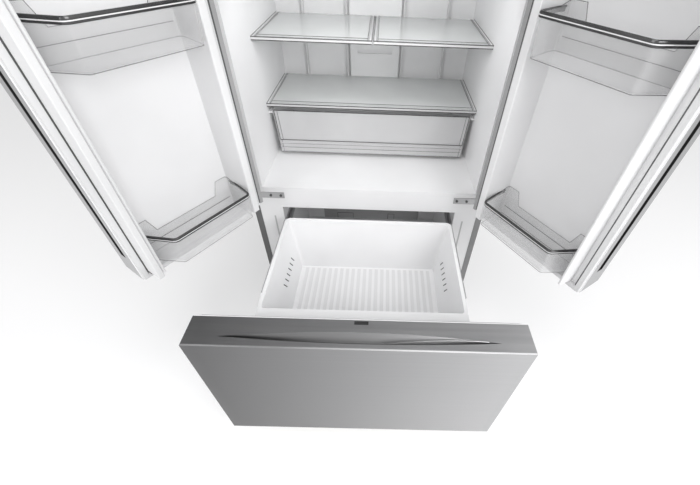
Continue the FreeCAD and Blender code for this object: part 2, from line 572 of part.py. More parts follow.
def door():
    steel = size("steel")
    outer = box("skin_outer", DOOR_LEFT, DOOR_RIGHT, FRONT, BACK_OF_DOOR + " - liner_wall",
                "door_bottom", "door_top")
    inner = box("skin_inner", DOOR_LEFT + " + steel", DOOR_RIGHT + " - steel", FRONT + " + steel",
                "overrun", "door_bottom - overrun", "door_top + overrun")
    slot = box("skin_slot", DOOR_RIGHT + " - 2 * steel", DOOR_RIGHT + " + overrun", FRONT + " + grip_setback",
               FRONT + " + grip_setback + grip_wide", "grip_low", "grip_high")
    door_node("door_skin", cut("door_skin", outer, [inner, slot]))

    lower = box("lower_end", DOOR_LEFT + " + steel", DOOR_RIGHT + " - steel", FRONT + " + steel",
                BACK_OF_DOOR + " - liner_wall", "door_bottom", "door_bottom + end_piece")
    upper = box("upper_end", DOOR_LEFT + " + steel", DOOR_RIGHT + " - steel", FRONT + " + steel",
                BACK_OF_DOOR + " - liner_wall", "door_top - end_piece", "door_top")
    pin_x, pin_y = "0 - %s + pivot_inset" % HALF, "0 - pivot_forward"
    bores = [cylinder("lower_bore", "pin_radius + flap_bore_gap", "pin_reach + 2 * overrun", pin_x, pin_y,
                      "door_bottom - overrun"),
             cylinder("upper_bore", "pin_radius + flap_bore_gap", "pin_reach + 2 * overrun", pin_x, pin_y,
                      "door_top - pin_reach - overrun")]
    ends = [cut("lower_end_piece", lower, [bores[0]]), cut("upper_end_piece", upper, [bores[1]])]
    door_node("door_end_caps", group("door_end_caps", ends))

    recess = door_outline(size("dyke_hinge_inset") + size("dyke_wide"),
                          size("dyke_free_inset") + size("dyke_free_wide"),
                          size("recess_low_inset"), size("dyke_high_inset") + size("dyke_wide"))
    draft, wall = size("dyke_draft"), size("liner_wall")
    x0, x1, z0, z1 = door_outline(steel, steel, 0, 0)
    foam = Part.makeBox(x1 - x0, size("door_thick") - steel - wall, z1 - z0 - 2 * size("end_piece"),
                        Vector(x0, -size("gasket") - size("door_thick") + steel, z0 + size("end_piece")))
    floor_y = -size("recess_back")
    pocket = Part.makeBox(recess[1] - recess[0] + 2 * wall, -floor_y + wall, recess[3] - recess[2] + 2 * wall,
                          Vector(recess[0] - wall, floor_y - wall, recess[2] - wall))
    grip = Part.makeBox(size("grip_deep") + steel, size("grip_wide"), size("grip_high") - size("grip_low"),
                        Vector(-size("door_gap") - steel - size("grip_deep"),
                               -size("gasket") - size("door_thick") + size("grip_setback"), size("grip_low")))
    foam_solid = foam.cut([pocket, grip])
    for bore_z in (size("door_bottom"), size("door_top") - size("pin_reach") - size("overrun")):
        foam_solid = foam_solid.cut(Part.makeCylinder(size("pin_radius") + size("flap_bore_gap"),
                                    size("pin_reach") + size("overrun"),
                                    Vector(-size("cabinet_width") / 2 + size("pivot_inset"),
                                           -size("pivot_forward"), bore_z)))
    door_node("door_insulation", feature("door_insulation", foam_solid))

    # inner liner: flat rim, raised rounded dyke and the recess that carries the bins
    rim = Part.makeBox(x1 - x0 + 2 * steel, wall, z1 - z0, Vector(x0 - steel, -size("gasket") - wall, z0))
    dyke_low = door_outline(size("dyke_hinge_inset"), size("dyke_free_inset"), size("dyke_low_inset"),
                            size("dyke_high_inset"))
    dyke_high = (dyke_low[0] + draft, dyke_low[1] - draft, dyke_low[2] + draft, dyke_low[3] - draft)
    ridge = frustum(dyke_low, dyke_high, -size("gasket"), size("dyke_top"))
    back = Part.makeBox(recess[1] - recess[0] + 2 * wall, -floor_y + wall - size("gasket"),
                        recess[3] - recess[2] + 2 * wall, Vector(recess[0] - wall, floor_y - wall,
                                                                 recess[2] - wall))
    mouth = (recess[0] - draft, recess[1] + draft, recess[2] - draft, recess[3] + draft)
    hollow = frustum(recess, mouth, floor_y, size("dyke_top"))
    over = Part.makeBox(mouth[1] - mouth[0], size("overrun"), mouth[3] - mouth[2],
                        Vector(mouth[0], size("dyke_top"), mouth[2]))
    liner = rim.fuse([ridge, back]).cut([hollow, over]).removeSplitter()
    crest = [e for e in liner.Edges if min(v.Y for v in e.Vertexes) > size("dyke_top") - size("fit_gap")]
    liner = liner.makeFillet(size("dyke_round"), crest)
    door_node("door_liner", feature("door_liner", liner))

    g = size("gasket_inset")
    seal_out = door_outline(size("pivot_inset") + g, g - size("door_gap"), g, g)
    w = size("gasket_wide")
    seal_in = (seal_out[0] + w, seal_out[1] - w, seal_out[2] + w, seal_out[3] - w)
    lip = size("running_gap") / 2
    seal_far = (seal_out[0] + lip, seal_out[1] - lip, seal_out[2] + lip, seal_out[3] - lip)
    seal_far_in = (seal_in[0] - lip, seal_in[1] + lip, seal_in[2] - lip, seal_in[3] + lip)
    y_far = -size("fit_gap")
    ring = frustum(seal_out, seal_far, -size("gasket"), y_far)
    ring = ring.cut(frustum(seal_in, seal_far_in, -size("gasket"), y_far))
    door_node("door_gasket", feature("door_gasket", ring))

    channel = Part.makeBox(size("grip_deep"), size("grip_wide"), size("grip_high") - size("grip_low"),
                           Vector(-size("door_gap") - size("grip_deep"),
                                  -size("gasket") - size("door_thick") + size("grip_setback"), size("grip_low")))
    finger = Part.makeBox(size("grip_deep"), size("grip_wide") - 2 * wall,
                          size("grip_high") - size("grip_low") - 2 * wall,
                          Vector(-size("door_gap") - size("grip_deep") + wall,
                                 -size("gasket") - size("door_thick") + size("grip_setback") + wall,
                                 size("grip_low") + wall))
    door_node("door_grip", feature("door_grip", channel.cut(finger)))

    bins, trims = [], []
    for level in ("bin_low", "bin_middle", "bin_high"):
        tray, trim = door_bin(recess, floor_y, size(level))
        bins.append(tray)
        trims.append(trim)
    door_node("door_bins", feature("door_bins", Part.makeCompound(bins)))
    door_node("door_bin_trims", feature("door_bin_trims", Part.makeCompound(trims)))


def door_bin(recess, floor_y, low):
    """Clear bin with a chamfered free end, and the bright trim on its top edge."""
    gap, wall, depth = size("fit_gap"), size("bin_wall"), size("bin_depth")
    top = low + size("bin_height")
    chamfer, small, draft = size("bin_chamfer"), size("bin_hinge_chamfer"), size("bin_draft")

    def outline(inset, draw):
        x0, x1 = recess[0] + gap + inset, recess[1] - gap - inset
        y0, y1 = floor_y + gap + inset, floor_y + depth - inset - draw
        y_end = floor_y + depth * size("bin_end_share")
        return [(x0, y0), (x1, y0), (x1, y_end), (x1 - chamfer, y1), (x0 + small, y1), (x0, y_end + small)]

    solid = tapered(outline(0, draft), outline(0, 0), low, top)
    hollow = tapered(outline(wall, draft), outline(wall, 0), low + wall, top + size("overrun"))
    tray = solid.cut(hollow)
    thick = size("trim_thick")
    band_out = prism(outline(-thick, 0), top - size("trim_height"), top + thick)
    band_in = prism(outline(gap, 0), top - size("trim_height") - gap, top + 2 * thick)
    keep = Part.makeBox(recess[1] - recess[0] - 2 * gap, depth * 2, size("bin_height"),
                        Vector(recess[0] + gap, floor_y + depth * size("trim_end_share"),
                               top - size("bin_height") / 2))
    trim = band_out.cut([band_in, solid]).common(keep)
    tray = tray.cut(trim)
    return tray, trim


def flap():
    """Centre flap that closes the gap between the doors, drawn folded against the left door's dyke."""
    pin_x = -size("door_gap") - size("flap_pivot_inset")
    pin_y = size("flap_pivot_back")
    half = size("flap_thick") / 2
    low, high = size("door_bottom") + size("flap_low_gap"), size("door_top") - size("flap_high_gap")
    body = Part.makeBox(2 * half, size("flap_wide"), high - low,
                        Vector(pin_x - half, pin_y - size("flap_heel"), low))
    body = body.makeFillet(size("flap_round"), edges_along(body, Vector(0, 0, 1)))
    pin, reach = size("flap_pin"), size("pin_reach")
    for z in (low, high - reach):
        body = body.cut(Part.makeCylinder(pin + size("flap_bore_gap"), reach, Vector(pin_x, pin_y, z)))
    arms = []
    arm, gap, short = size("bracket_sheet"), size("fit_gap"), reach - size("flap_end_gap")
    for z, pin_from in ((low - gap - arm, low - gap), (high + gap, high - short)):
        plate = Part.makeBox(2 * half, pin_y + size("gasket") + half, arm, Vector(pin_x - half,
                                                                                  -size("gasket"), z))
        rod = Part.makeCylinder(pin, short + gap, Vector(pin_x, pin_y, pin_from))
        arms.append(plate.fuse(rod).removeSplitter())
    return feature("mullion_flap", body), feature("mullion_brackets", Part.makeCompound(arms))


def hinges():
    pin_x, pin_y = -size("cabinet_width") / 2 + size("pivot_inset"), -size("pivot_forward")
    plate, reach, edge = size("hinge_plate"), size("pin_reach"), size("pivot_inset")
    long_x = size("hinge_leaf_long")
    z = (size("drawer_top") + size("door_bottom")) / 2 - plate / 2
    arm = Part.makeBox(2 * edge - plate, -pin_y, plate, Vector(pin_x - edge + plate, pin_y, z))
    nose = Part.makeCylinder(edge - plate, plate, Vector(pin_x, pin_y, z))
    leaf_low = size("drawer_top") - size("hinge_leaf_drop")
    leaf_high = z + 2 * plate
    leaf = Part.makeBox(long_x, plate, leaf_high - leaf_low, Vector(pin_x - edge + plate, -plate, leaf_low))
    pin = Part.makeCylinder(size("pin_radius"), size("door_bottom") - z + reach, Vector(pin_x, pin_y, z))
    middle = feature("middle_hinge", arm.fuse([nose, leaf, pin]).removeSplitter())
    node("middle_hinges", pair("middle_hinges", middle))
    screws = []
    for share in ("leaf_screw_share_near", "leaf_screw_share_far"):
        screws.append(Part.makeCylinder(size("screw_radius"), size("screw_high"),
                      Vector(pin_x - edge + plate + size(share) * long_x, -plate, (leaf_low + leaf_high) / 2),
                      Vector(0, -1, 0)))

    top = size("door_top") + plate / 2
    strap = Part.makeBox(2 * edge - plate, size("pivot_forward") * 2, plate,
                         Vector(pin_x - edge + plate, pin_y, top))
    top_nose = Part.makeCylinder(edge - plate, plate, Vector(pin_x, pin_y, top))
    top_pin = Part.makeCylinder(size("pin_radius"), top - size("door_top") + reach, Vector(pin_x, pin_y,
                                size("door_top") - reach))
    foot = Part.makeBox(2 * edge - plate, size("pivot_forward"), top - size("cabinet_top"),
                        Vector(pin_x - edge + plate, 0, size("cabinet_top")))
    upper = feature("top_hinge", strap.fuse([top_nose, top_pin, foot]).removeSplitter())
    node("top_hinges", pair("top_hinges", upper))
    for share in ("strap_screw_share_near", "strap_screw_share_far"):
        screws.append(Part.makeCylinder(size("screw_radius"), size("screw_high"),
                      Vector(pin_x, size(share) * size("pivot_forward"), top + plate), Vector(0, 0, 1)))
    node("hinge_screws", pair("hinge_screws", feature("hinge_screw_set", Part.makeCompound(screws))))

    cover_from, wall = pin_y - edge, size("liner_wall")
    gap = size("fit_gap")
    length = size("pivot_forward") * 2 + edge + 4 * wall
    high = size("hinge_cover_high")
    outer = Part.makeBox(2 * edge + 2 * wall, length, high, Vector(pin_x - edge - wall + plate,
                                                                   cover_from, top))
    rounded = outer.makeFillet(size("hinge_cover_round"), [e for e in outer.Edges
                                                           if e.BoundBox.ZMin > top + plate])
    inner = Part.makeBox(2 * edge - plate + 2 * gap, length - 2 * wall, high - 2 * wall,
                         Vector(pin_x - edge + plate - gap, cover_from + wall, top - gap))
    node("top_hinge_covers", pair("top_hinge_covers", feature("top_hinge_cover", rounded.cut(inner))))


# Freezer drawer, drawn closed

def lens(half_long, wide, setback, z_from, z_to):
    """Plan lens between two shallow arcs, for the scooped grip in the drawer's top."""
    y_front = -size("gasket") - size("door_thick") + setback
    y_end = y_front + wide * size("scoop_end_share")
    left, right = Vector(-half_long, y_end, z_from), Vector(half_long, y_end, z_from)
    front = Part.Arc(left, Vector(0, y_front, z_from), right).toShape()
    back = Part.Arc(right, Vector(0, y_front + wide, z_from), left).toShape()
    return Part.Face(Part.Wire([front, back])).extrude(Vector(0, 0, z_to - z_from))


def drawer():
    steel, wall = size("steel"), size("liner_wall")
    half, top, low = size("cabinet_width") / 2, size("drawer_top"), size("drawer_bottom")
    y_front, y_back = -size("gasket") - size("door_thick"), -size("gasket")
    outer = Part.makeBox(2 * half, y_back - wall - y_front, top - low, Vector(-half, y_front, low))
    inner = Part.makeBox(2 * half - 2 * steel, size("door_thick") + size("overrun"), top - low,
                         Vector(-half + steel, y_front + steel, low - steel))
    deep = size("scoop_deep")
    tub = lens(size("scoop_half") + steel, size("scoop_wide") + 2 * steel, size("scoop_setback") - steel,
               top - deep - steel, top)
    scoop = lens(size("scoop_half"), size("scoop_wide"), size("scoop_setback"), top - deep,
                 top + size("overrun"))
    skin = outer.cut(inner).fuse(tub).cut(scoop).removeSplitter()
    drawer_node("drawer_skin", feature("drawer_skin", skin))

    foam = Part.makeBox(2 * half - 2 * steel, size("door_thick") - steel - wall, top - steel - low,
                        Vector(-half + steel, y_front + steel, low))
    drawer_node("drawer_insulation", feature("drawer_insulation", foam.cut(tub)))

    pad_half, pad_gap = size("freezer_half_width") - size("drawer_step_gap"), size("drawer_step_gap")
    rim = Part.makeBox(2 * half, wall, top - low, Vector(-half, y_back - wall, low))
    near = (-pad_half, pad_half, size("freezer_floor") + pad_gap, size("freezer_ceiling") - pad_gap)
    far = (near[0] + size("dyke_draft"), near[1] - size("dyke_draft"), near[2] + size("dyke_draft"),
           near[3] - size("dyke_draft"))
    pad = frustum(near, far, y_back, size("drawer_step") - size("gasket"))
    drawer_node("drawer_liner", feature("drawer_liner", rim.fuse(pad).removeSplitter()))

    g, w = size("gasket_inset"), size("gasket_wide")
    seal_out = (-half + 2 * g, half - 2 * g, size("cabinet_bottom") + 2 * g, top - 4 * g)
    seal_in = (seal_out[0] + w, seal_out[1] - w, seal_out[2] + w, seal_out[3] - w)
    ring = frustum(seal_out, seal_out, y_back, -size("fit_gap"))
    inside = frustum(seal_in, seal_in, y_back, -size("fit_gap"))
    drawer_node("drawer_gasket", feature("drawer_gasket", ring.cut(inside)))

    plate = Part.makeBox(size("plate_wide"), size("plate_deep"), size("plate_thick"),
                         Vector(-size("plate_wide") / 2,
                                y_back - wall - size("plate_setback") - size("plate_deep"),
                                top))
    drawer_node("drawer_sensor_plate", feature("drawer_sensor_plate", plate))
    drawer_node("freezer_basket", feature("freezer_basket", basket()))


def edges_along(solid, direction):
    """Straight edges of a solid that run along a direction."""
    return [e for e in solid.Edges
            if e.tangentAt(0).cross(direction).Length < e.tangentAt(0).dot(direction) ** 2]


def rounded_outline(x_half, y_from, y_to, radius, z):
    """Rectangular wire with rounded corners."""
    block = Part.makeBox(2 * x_half, y_to - y_from, size("overrun"), Vector(-x_half, y_from, z))
    block = block.makeFillet(radius, edges_along(block, Vector(0, 0, 1)))
    bottom = min(block.Faces, key=lambda f: f.CenterOfMass.z)
    return bottom.OuterWire


def basket():
    half, front, back = size("basket_half"), size("basket_front"), size("basket_back")
    low, top = size("basket_floor"), size("basket_top")
    wall, draft = size("basket_wall"), size("basket_draft")
    rim, radius = size("basket_rim"), size("basket_round")

    def tub(inset, z_low, z_high):
        lower = rounded_outline(half - draft - inset, front + draft / 2 + inset, back - draft - inset,
                                radius - inset, z_low)
        upper = rounded_outline(half - inset, front + inset, back - inset, radius - inset, z_high)
        return Part.makeLoft([lower, upper], True, True)

    shell = tub(0, low, top).cut(tub(wall, low + wall, top + wall / 2))
    edge_out = Part.Face(rounded_outline(half + rim, front - rim, back + rim, radius + rim, top - wall))
    edge_in = Part.Face(rounded_outline(half - wall, front + wall, back - wall, radius - wall,
                                        top - wall - size("basket_rim_overlap")))
    edge = edge_out.extrude(Vector(0, 0, wall)).cut(edge_in.extrude(Vector(0, 0, 3 * wall)))
    shell = shell.fuse(edge)

    inner_half = half - draft - wall
    count = int(size("rib_count"))
    pitch = 2 * (inner_half - radius) / (count - 1)
    y_from, y_to = front + draft / 2 + radius, back - draft - radius
    ribs = []
    for i in range(count):
        x = -inner_half + radius + i * pitch
        ribs.append(Part.makeBox(size("rib_wide"), y_to - y_from, size("rib_high") + wall / 2,
                                 Vector(x - size("rib_wide") / 2, y_from, low + wall / 2)))
    slots = []
    for side in (-1, 1):
        for i in range(int(size("slot_count"))):
            y = (front + back) / 2 - (i - size("slot_count") / 2) * size("slot_pitch") + draft
            slot = Part.makeBox(4 * draft, size("slot_wide"), size("slot_high"),
                                Vector(-2 * draft, 0, 0))
            slot.rotate(Vector(), Vector(1, 0, 0), size("slot_slant"))
            slot.translate(Vector(side * (half - draft / 2), y,
                                  low + (top - low) * size("slot_height_share")))
            slots.append(slot)
    return shell.cut(slots).fuse(ribs).removeSplitter()


def rails():
    """Three-part runners: fixed on the liner, a middle member and one that carries the drawer."""
    wall, step, gap = size("freezer_half_width"), size("rail_step"), size("rail_gap")
    low, high, back = size("rail_low"), size("rail_high"), size("rail_back")
    middle_inset = (high - low) * size("rail_middle_share")

    def member(x_outer, x_inner, y_from, y_to, z_from, z_to):
        bar = Part.makeBox(x_inner - x_outer, y_to - y_from, z_to - z_from, Vector(x_outer, y_from, z_from))
        return bar.makeFillet((x_inner - x_outer) * size("rail_round_share"),
                              edges_along(bar, Vector(0, 1, 0)))

    fixed = member(-wall, -wall + step, y_start() + size("running_gap"), back, low, high)
    node("drawer_rails_fixed", pair("drawer_rails_fixed", feature("rail_fixed", fixed)))
    centre = member(-wall + step + gap, -wall + 2 * step, y_start() + size("running_gap"), back,
                    low + middle_inset, high - middle_inset)
    middle = pair("drawer_rails_middle", feature("rail_middle", centre))
    under_rim = size("basket_top") - size("basket_wall") - size("fit_gap") / 2
    carrier = Part.makeBox(step / 2, back - y_start(), high - low - 2 * middle_inset,
                           Vector(-wall + 2 * step + gap, y_start(), low + middle_inset))
    hanger = Part.makeBox(step, size("basket_back") - 2 * size("basket_front"),
                          under_rim - low - middle_inset,
                          Vector(-wall + 2 * step + gap, 2 * size("basket_front"), low + middle_inset))
    arm = feature("rail_carrier", carrier.fuse(hanger).removeSplitter())
    return middle, pair("drawer_rails_moving", arm)


def y_start():
    """Back face of the raised pad on the drawer, where the moving rails are fastened."""
    return size("drawer_step") - size("gasket")


cabinet()
base()
machine_room()
air_system()
shelves()
door()
hinges()
drawer()
rail_middle, rail_moving = rails()
drawer_node("drawer_rails_moving", rail_moving)
flap_piece, flap_arms = flap()
doc.recompute()

# Rest pose: both doors open, freezer drawer pulled out; the row's origin is under the middle of it all
reach = size("drawer_out") + size("gasket") + size("door_thick")
origin_shift = Vector(0, (reach - size("cabinet_depth")) / 2, 0)
pivot = Vector(-size("cabinet_width") / 2 + size("pivot_inset"), -size("pivot_forward"), 0)
opened = Rotation(Vector(0, 0, 1), -size("door_open"))
swing_left = Placement(origin_shift, Rotation()) * Placement(Vector(), opened, pivot)
out = Placement(origin_shift + Vector(0, -size("drawer_out"), 0), Rotation())
half_out = Placement(origin_shift + Vector(0, -size("drawer_out") / 2, 0), Rotation())
still = Placement(origin_shift, Rotation())

finished = {}


def finish(label, shape, place):
    moved = shape.copy()
    moved.Placement = place * shape.Placement
    finished[label] = moved


for label, source in nodes.items():
    finish(label, source.Shape, still)
mirror_plane = Vector(1, 0, 0)
for label, source in swinging.items():
    left = source.Shape.copy()
    left.Placement = swing_left * left.Placement
    finished["left_" + label] = left
    finished["right_" + label] = left.mirror(Vector(), mirror_plane)
finish("mullion_flap", flap_piece.Shape, swing_left)
finish("mullion_brackets", flap_arms.Shape, swing_left)
for label, source in sliding.items():
    finish(label, source.Shape, out)
finish("drawer_rails_middle", rail_middle.Shape, half_out)

problems = []
for item in doc.Objects:
    if {"Invalid", "Error"} & set(item.State):
        problems.append(item.Name)
for label, shape in finished.items():
    if shape.isNull() or not shape.isValid() or shape.Volume <= 0:
        problems.append(label)
if problems:
    raise RuntimeError("failed pieces: " + ", ".join(problems))

whole = None
for label, shape in finished.items():
    final = doc.addObject("Part::Feature", "node_" + label)
    final.Label = label
    final.Shape = shape
    final.Shape.exportStep(os.path.join("parts", label + ".step"))
    whole = shape.BoundBox if whole is None else whole.united(shape.BoundBox)
print("nodes", len(finished), "box", whole)
print("pivot", pivot + origin_shift, "shift", origin_shift)
flap_pin = Vector(-size("door_gap") - size("flap_pivot_inset"), size("flap_pivot_back"), 0)
print("flap pivot", swing_left.multVec(flap_pin))
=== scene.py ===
"""French-door refrigerator, doors open and drawer pulled out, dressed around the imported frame."""
import json
import math

import bmesh
import bpy
from mathutils import Matrix, Vector


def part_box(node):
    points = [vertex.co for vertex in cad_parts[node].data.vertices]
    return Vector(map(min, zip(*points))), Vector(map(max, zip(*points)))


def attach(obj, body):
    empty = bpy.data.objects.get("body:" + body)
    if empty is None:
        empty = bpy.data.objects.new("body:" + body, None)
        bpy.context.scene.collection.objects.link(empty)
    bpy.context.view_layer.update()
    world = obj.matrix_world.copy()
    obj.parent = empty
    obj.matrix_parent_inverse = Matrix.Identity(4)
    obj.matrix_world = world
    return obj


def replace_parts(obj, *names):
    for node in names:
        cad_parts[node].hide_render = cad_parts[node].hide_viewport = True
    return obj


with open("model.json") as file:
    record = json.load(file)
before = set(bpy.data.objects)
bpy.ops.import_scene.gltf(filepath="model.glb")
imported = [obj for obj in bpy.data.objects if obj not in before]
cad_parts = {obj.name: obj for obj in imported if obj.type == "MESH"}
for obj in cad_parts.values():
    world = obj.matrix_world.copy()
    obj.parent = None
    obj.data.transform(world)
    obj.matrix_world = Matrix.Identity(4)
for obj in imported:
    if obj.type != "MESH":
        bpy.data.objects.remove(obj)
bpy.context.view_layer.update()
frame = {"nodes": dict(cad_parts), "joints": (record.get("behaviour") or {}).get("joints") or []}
NODES = frame["nodes"]
JOINTS = {joint["name"]: joint for joint in frame["joints"]}
scene = bpy.context.scene
scene.view_settings.view_transform = "Standard"


# Camera: fitted to the photograph, whose frame is 700 by 485 pixels
PHOTO_WIDE, PHOTO_HIGH = 700, 485
CENTRE_X, CENTRE_Y, FOCAL_PIXELS = 382.3, 232.4, 354.7
CAMERA_PLACE = Vector((0.0345, -1.0912, 1.4655))
YAW, PITCH, ROLL = 0.020, 0.748, 0.045
SENSOR, CLIP_START = 36.0, 0.02


def make_camera():
    """Camera of the photograph, with its centre of view beside the middle of the frame."""
    forward = Vector((math.sin(YAW) * math.cos(PITCH), math.cos(YAW) * math.cos(PITCH), -math.sin(PITCH)))
    level = Vector((math.cos(YAW), -math.sin(YAW), 0.0))
    upright = level.cross(forward)
    right = math.cos(ROLL) * level + math.sin(ROLL) * upright
    up = math.cos(ROLL) * upright - math.sin(ROLL) * level
    data = bpy.data.cameras.new("photo_camera")
    data.sensor_width = SENSOR
    data.lens = FOCAL_PIXELS * SENSOR / PHOTO_WIDE
    data.shift_x = (PHOTO_WIDE / 2 - CENTRE_X) / PHOTO_WIDE
    data.shift_y = (CENTRE_Y - PHOTO_HIGH / 2) / PHOTO_WIDE
    data.clip_start = CLIP_START
    camera = bpy.data.objects.new("photo_camera", data)
    scene.collection.objects.link(camera)
    turn = Matrix((right, up, -forward)).transposed()
    camera.matrix_world = Matrix.Translation(CAMERA_PLACE) @ turn.to_4x4()
    scene.camera = camera


make_camera()


# Materials

def material(name, color, rough=0.5, metal=0.0, alpha=1.0, specular=0.5, coat=0.0):
    """A Principled material; returns it with its node tree and its shader."""
    made = bpy.data.materials.new(name)
    made.use_nodes = True
    shader = made.node_tree.nodes["Principled BSDF"]
    shader.inputs["Base Color"].default_value = (*color, 1)
    shader.inputs["Roughness"].default_value = rough
    shader.inputs["Metallic"].default_value = metal
    shader.inputs["Alpha"].default_value = alpha
    shader.inputs["Specular IOR Level"].default_value = specular
    shader.inputs["Coat Weight"].default_value = coat
    return made, made.node_tree, shader


def noise(tree, scale, stretch=(1, 1, 1), detail=3.0, rough=0.5):
    """Object-space noise, stretched along the axes."""
    where = tree.nodes.new("ShaderNodeTexCoord")
    mapping = tree.nodes.new("ShaderNodeMapping")
    mapping.inputs["Scale"].default_value = stretch
    texture = tree.nodes.new("ShaderNodeTexNoise")
    texture.inputs["Scale"].default_value = scale
    texture.inputs["Detail"].default_value = detail
    texture.inputs["Roughness"].default_value = rough
    tree.links.new(where.outputs["Object"], mapping.inputs["Vector"])
    tree.links.new(mapping.outputs["Vector"], texture.inputs["Vector"])
    return texture.outputs["Fac"]


def ramp(tree, source, low, high, start=0.3, end=0.7):
    """Colour from low to high, as the source goes from start to end."""
    node = tree.nodes.new("ShaderNodeValToRGB")
    node.color_ramp.elements[0].position = start
    node.color_ramp.elements[0].color = (*low, 1)
    node.color_ramp.elements[1].position = end
    node.color_ramp.elements[1].color = (*high, 1)
    tree.links.new(source, node.inputs["Fac"])
    return node.outputs["Color"]


def spread(tree, source, low, high):
    """Number from low to high, as the source goes from zero to one."""
    node = tree.nodes.new("ShaderNodeMapRange")
    node.inputs["To Min"].default_value = low
    node.inputs["To Max"].default_value = high
    tree.links.new(source, node.inputs["Value"])
    return node.outputs["Result"]


def bump(tree, shader, source, strength, distance):
    """Relief of the surface, in metres at full strength."""
    node = tree.nodes.new("ShaderNodeBump")
    node.inputs["Strength"].default_value = strength
    node.inputs["Distance"].default_value = distance
    tree.links.new(source, node.inputs["Height"])
    tree.links.new(node.outputs["Normal"], shader.inputs["Normal"])


def multiply(tree, one, other):
    mix = tree.nodes.new("ShaderNodeMix")
    mix.data_type = "RGBA"
    mix.blend_type = "MULTIPLY"
    mix.inputs["Factor"].default_value = 1.0
    tree.links.new(one, mix.inputs["A"])
    tree.links.new(other, mix.inputs["B"])
    return mix.outputs["Result"]


def across(tree, from_x, to_x):
    """Share of the way from one X to another, across the object."""
    where = tree.nodes.new("ShaderNodeTexCoord")
    parts = tree.nodes.new("ShaderNodeSeparateXYZ")
    tree.links.new(where.outputs["Object"], parts.inputs["Vector"])
    share = tree.nodes.new("ShaderNodeMapRange")
    share.inputs["From Min"].default_value = from_x
    share.inputs["From Max"].default_value = to_x
    tree.links.new(parts.outputs["X"], share.inputs["Value"])
    return share.outputs["Result"]


def grey(level):
    """A neutral colour with the faint blue that white appliances have."""
    return level, level, min(1.0, level * 1.008)


def tinted(color, factor):
    """A colour made lighter or darker."""
    return tuple(min(1.0, c * factor) for c in color)


def plastic(name, color, rough=0.4, grain=900.0, relief=0.15, variation=0.04, **more):
    """Moulded plastic: faint mottling, fine moulding grain and a varying gloss."""
    made, tree, shader = material(name, color, rough, **more)
    mottle = noise(tree, scale=3.0)
    tree.links.new(ramp(tree, mottle, tinted(color, 1 - variation), tinted(color, 1 + variation)),
                   shader.inputs["Base Color"])
    bump(tree, shader, noise(tree, grain), strength=relief, distance=0.0003)
    gloss = noise(tree, scale=12.0)
    tree.links.new(spread(tree, gloss, low=rough * 0.88, high=rough * 1.12), shader.inputs["Roughness"])
    return made


def brushed(name, dark, light, from_x, to_x, rough=0.34, stretch=(2, 60, 900)):
    """Brushed stainless steel: long fine streaks over a painted reflection that changes tone from left to
    right.
    """
    made, tree, shader = material(name, light, rough, metal=1.0)
    # Painted reflection: the base colour goes from the first tone to the second across X.
    tone = ramp(tree, across(tree, from_x, to_x), dark, light, start=0.0, end=1.0)
    streaks = noise(tree, 1.0, stretch, detail=6.0, rough=0.65)
    shade = ramp(tree, streaks, grey(0.9), grey(1.0), start=0.35, end=0.65)
    tree.links.new(multiply(tree, tone, shade), shader.inputs["Base Color"])
    tree.links.new(spread(tree, streaks, low=rough * 0.8, high=rough * 1.25), shader.inputs["Roughness"])
    bump(tree, shader, streaks, strength=0.1, distance=0.0002)
    return made


# Span of X over which painted() paints light, from its first colour to its second.
TONE_FROM, TONE_TO = -0.2, 0.2


def painted(name, color, rough=0.45, metal=0.0, painted_light_color=None):
    """Sprayed or plated sheet metal; a second colour is painted light, the tone on its right where light
    falls.
    """
    made, tree, shader = material(name, color, rough, metal)
    mottle = ramp(tree, noise(tree, scale=5.0), grey(0.94), grey(1.0))
    # Painted light: the colour changes across X to the second colour, where one is given.
    tone = ramp(tree, across(tree, TONE_FROM, TONE_TO), color, painted_light_color or color, start=0.0, end=1.0)
    tree.links.new(multiply(tree, tone, mottle), shader.inputs["Base Color"])
    bump(tree, shader, noise(tree, scale=420.0, detail=2.0), strength=0.25, distance=0.0004)
    gloss = noise(tree, scale=30.0)
    tree.links.new(spread(tree, gloss, low=rough * 0.9, high=rough * 1.1), shader.inputs["Roughness"])
    return made


def clear(name, color, facing, grazing, rough=0.12):
    """Clear moulding: see-through from the front, denser where the sight line grazes it."""
    made, tree, shader = material(name, color, rough, alpha=facing, specular=0.7, coat=0.3)
    mottle, gloss = noise(tree, scale=4.0), noise(tree, scale=9.0)
    tree.links.new(ramp(tree, mottle, tinted(color, 0.94), tinted(color, 1.03)), shader.inputs["Base Color"])
    tree.links.new(spread(tree, gloss, low=rough * 0.7, high=rough * 1.5), shader.inputs["Roughness"])
    weight = tree.nodes.new("ShaderNodeLayerWeight")
    weight.inputs["Blend"].default_value = 0.35
    tree.links.new(spread(tree, weight.outputs["Facing"], facing, grazing), shader.inputs["Alpha"])
    bump(tree, shader, noise(tree, scale=60.0), strength=0.05, distance=0.0004)
    return made


WHITE = plastic("white_liner_finish", grey(0.8), 0.38)
DOOR_WHITE = plastic("door_liner_finish", grey(0.79), 0.36)
BASKET = plastic("basket_finish", grey(0.82), 0.42)
# Painted shade: a darker white for the strips between the basket's ribs.
VALLEY_PAINTED_SHADE = plastic("basket_valley_painted_shade", grey(0.7), 0.5)
GREY_PLASTIC = plastic("grey_plastic_finish", grey(0.34), 0.48, grain=700.0, relief=0.3)
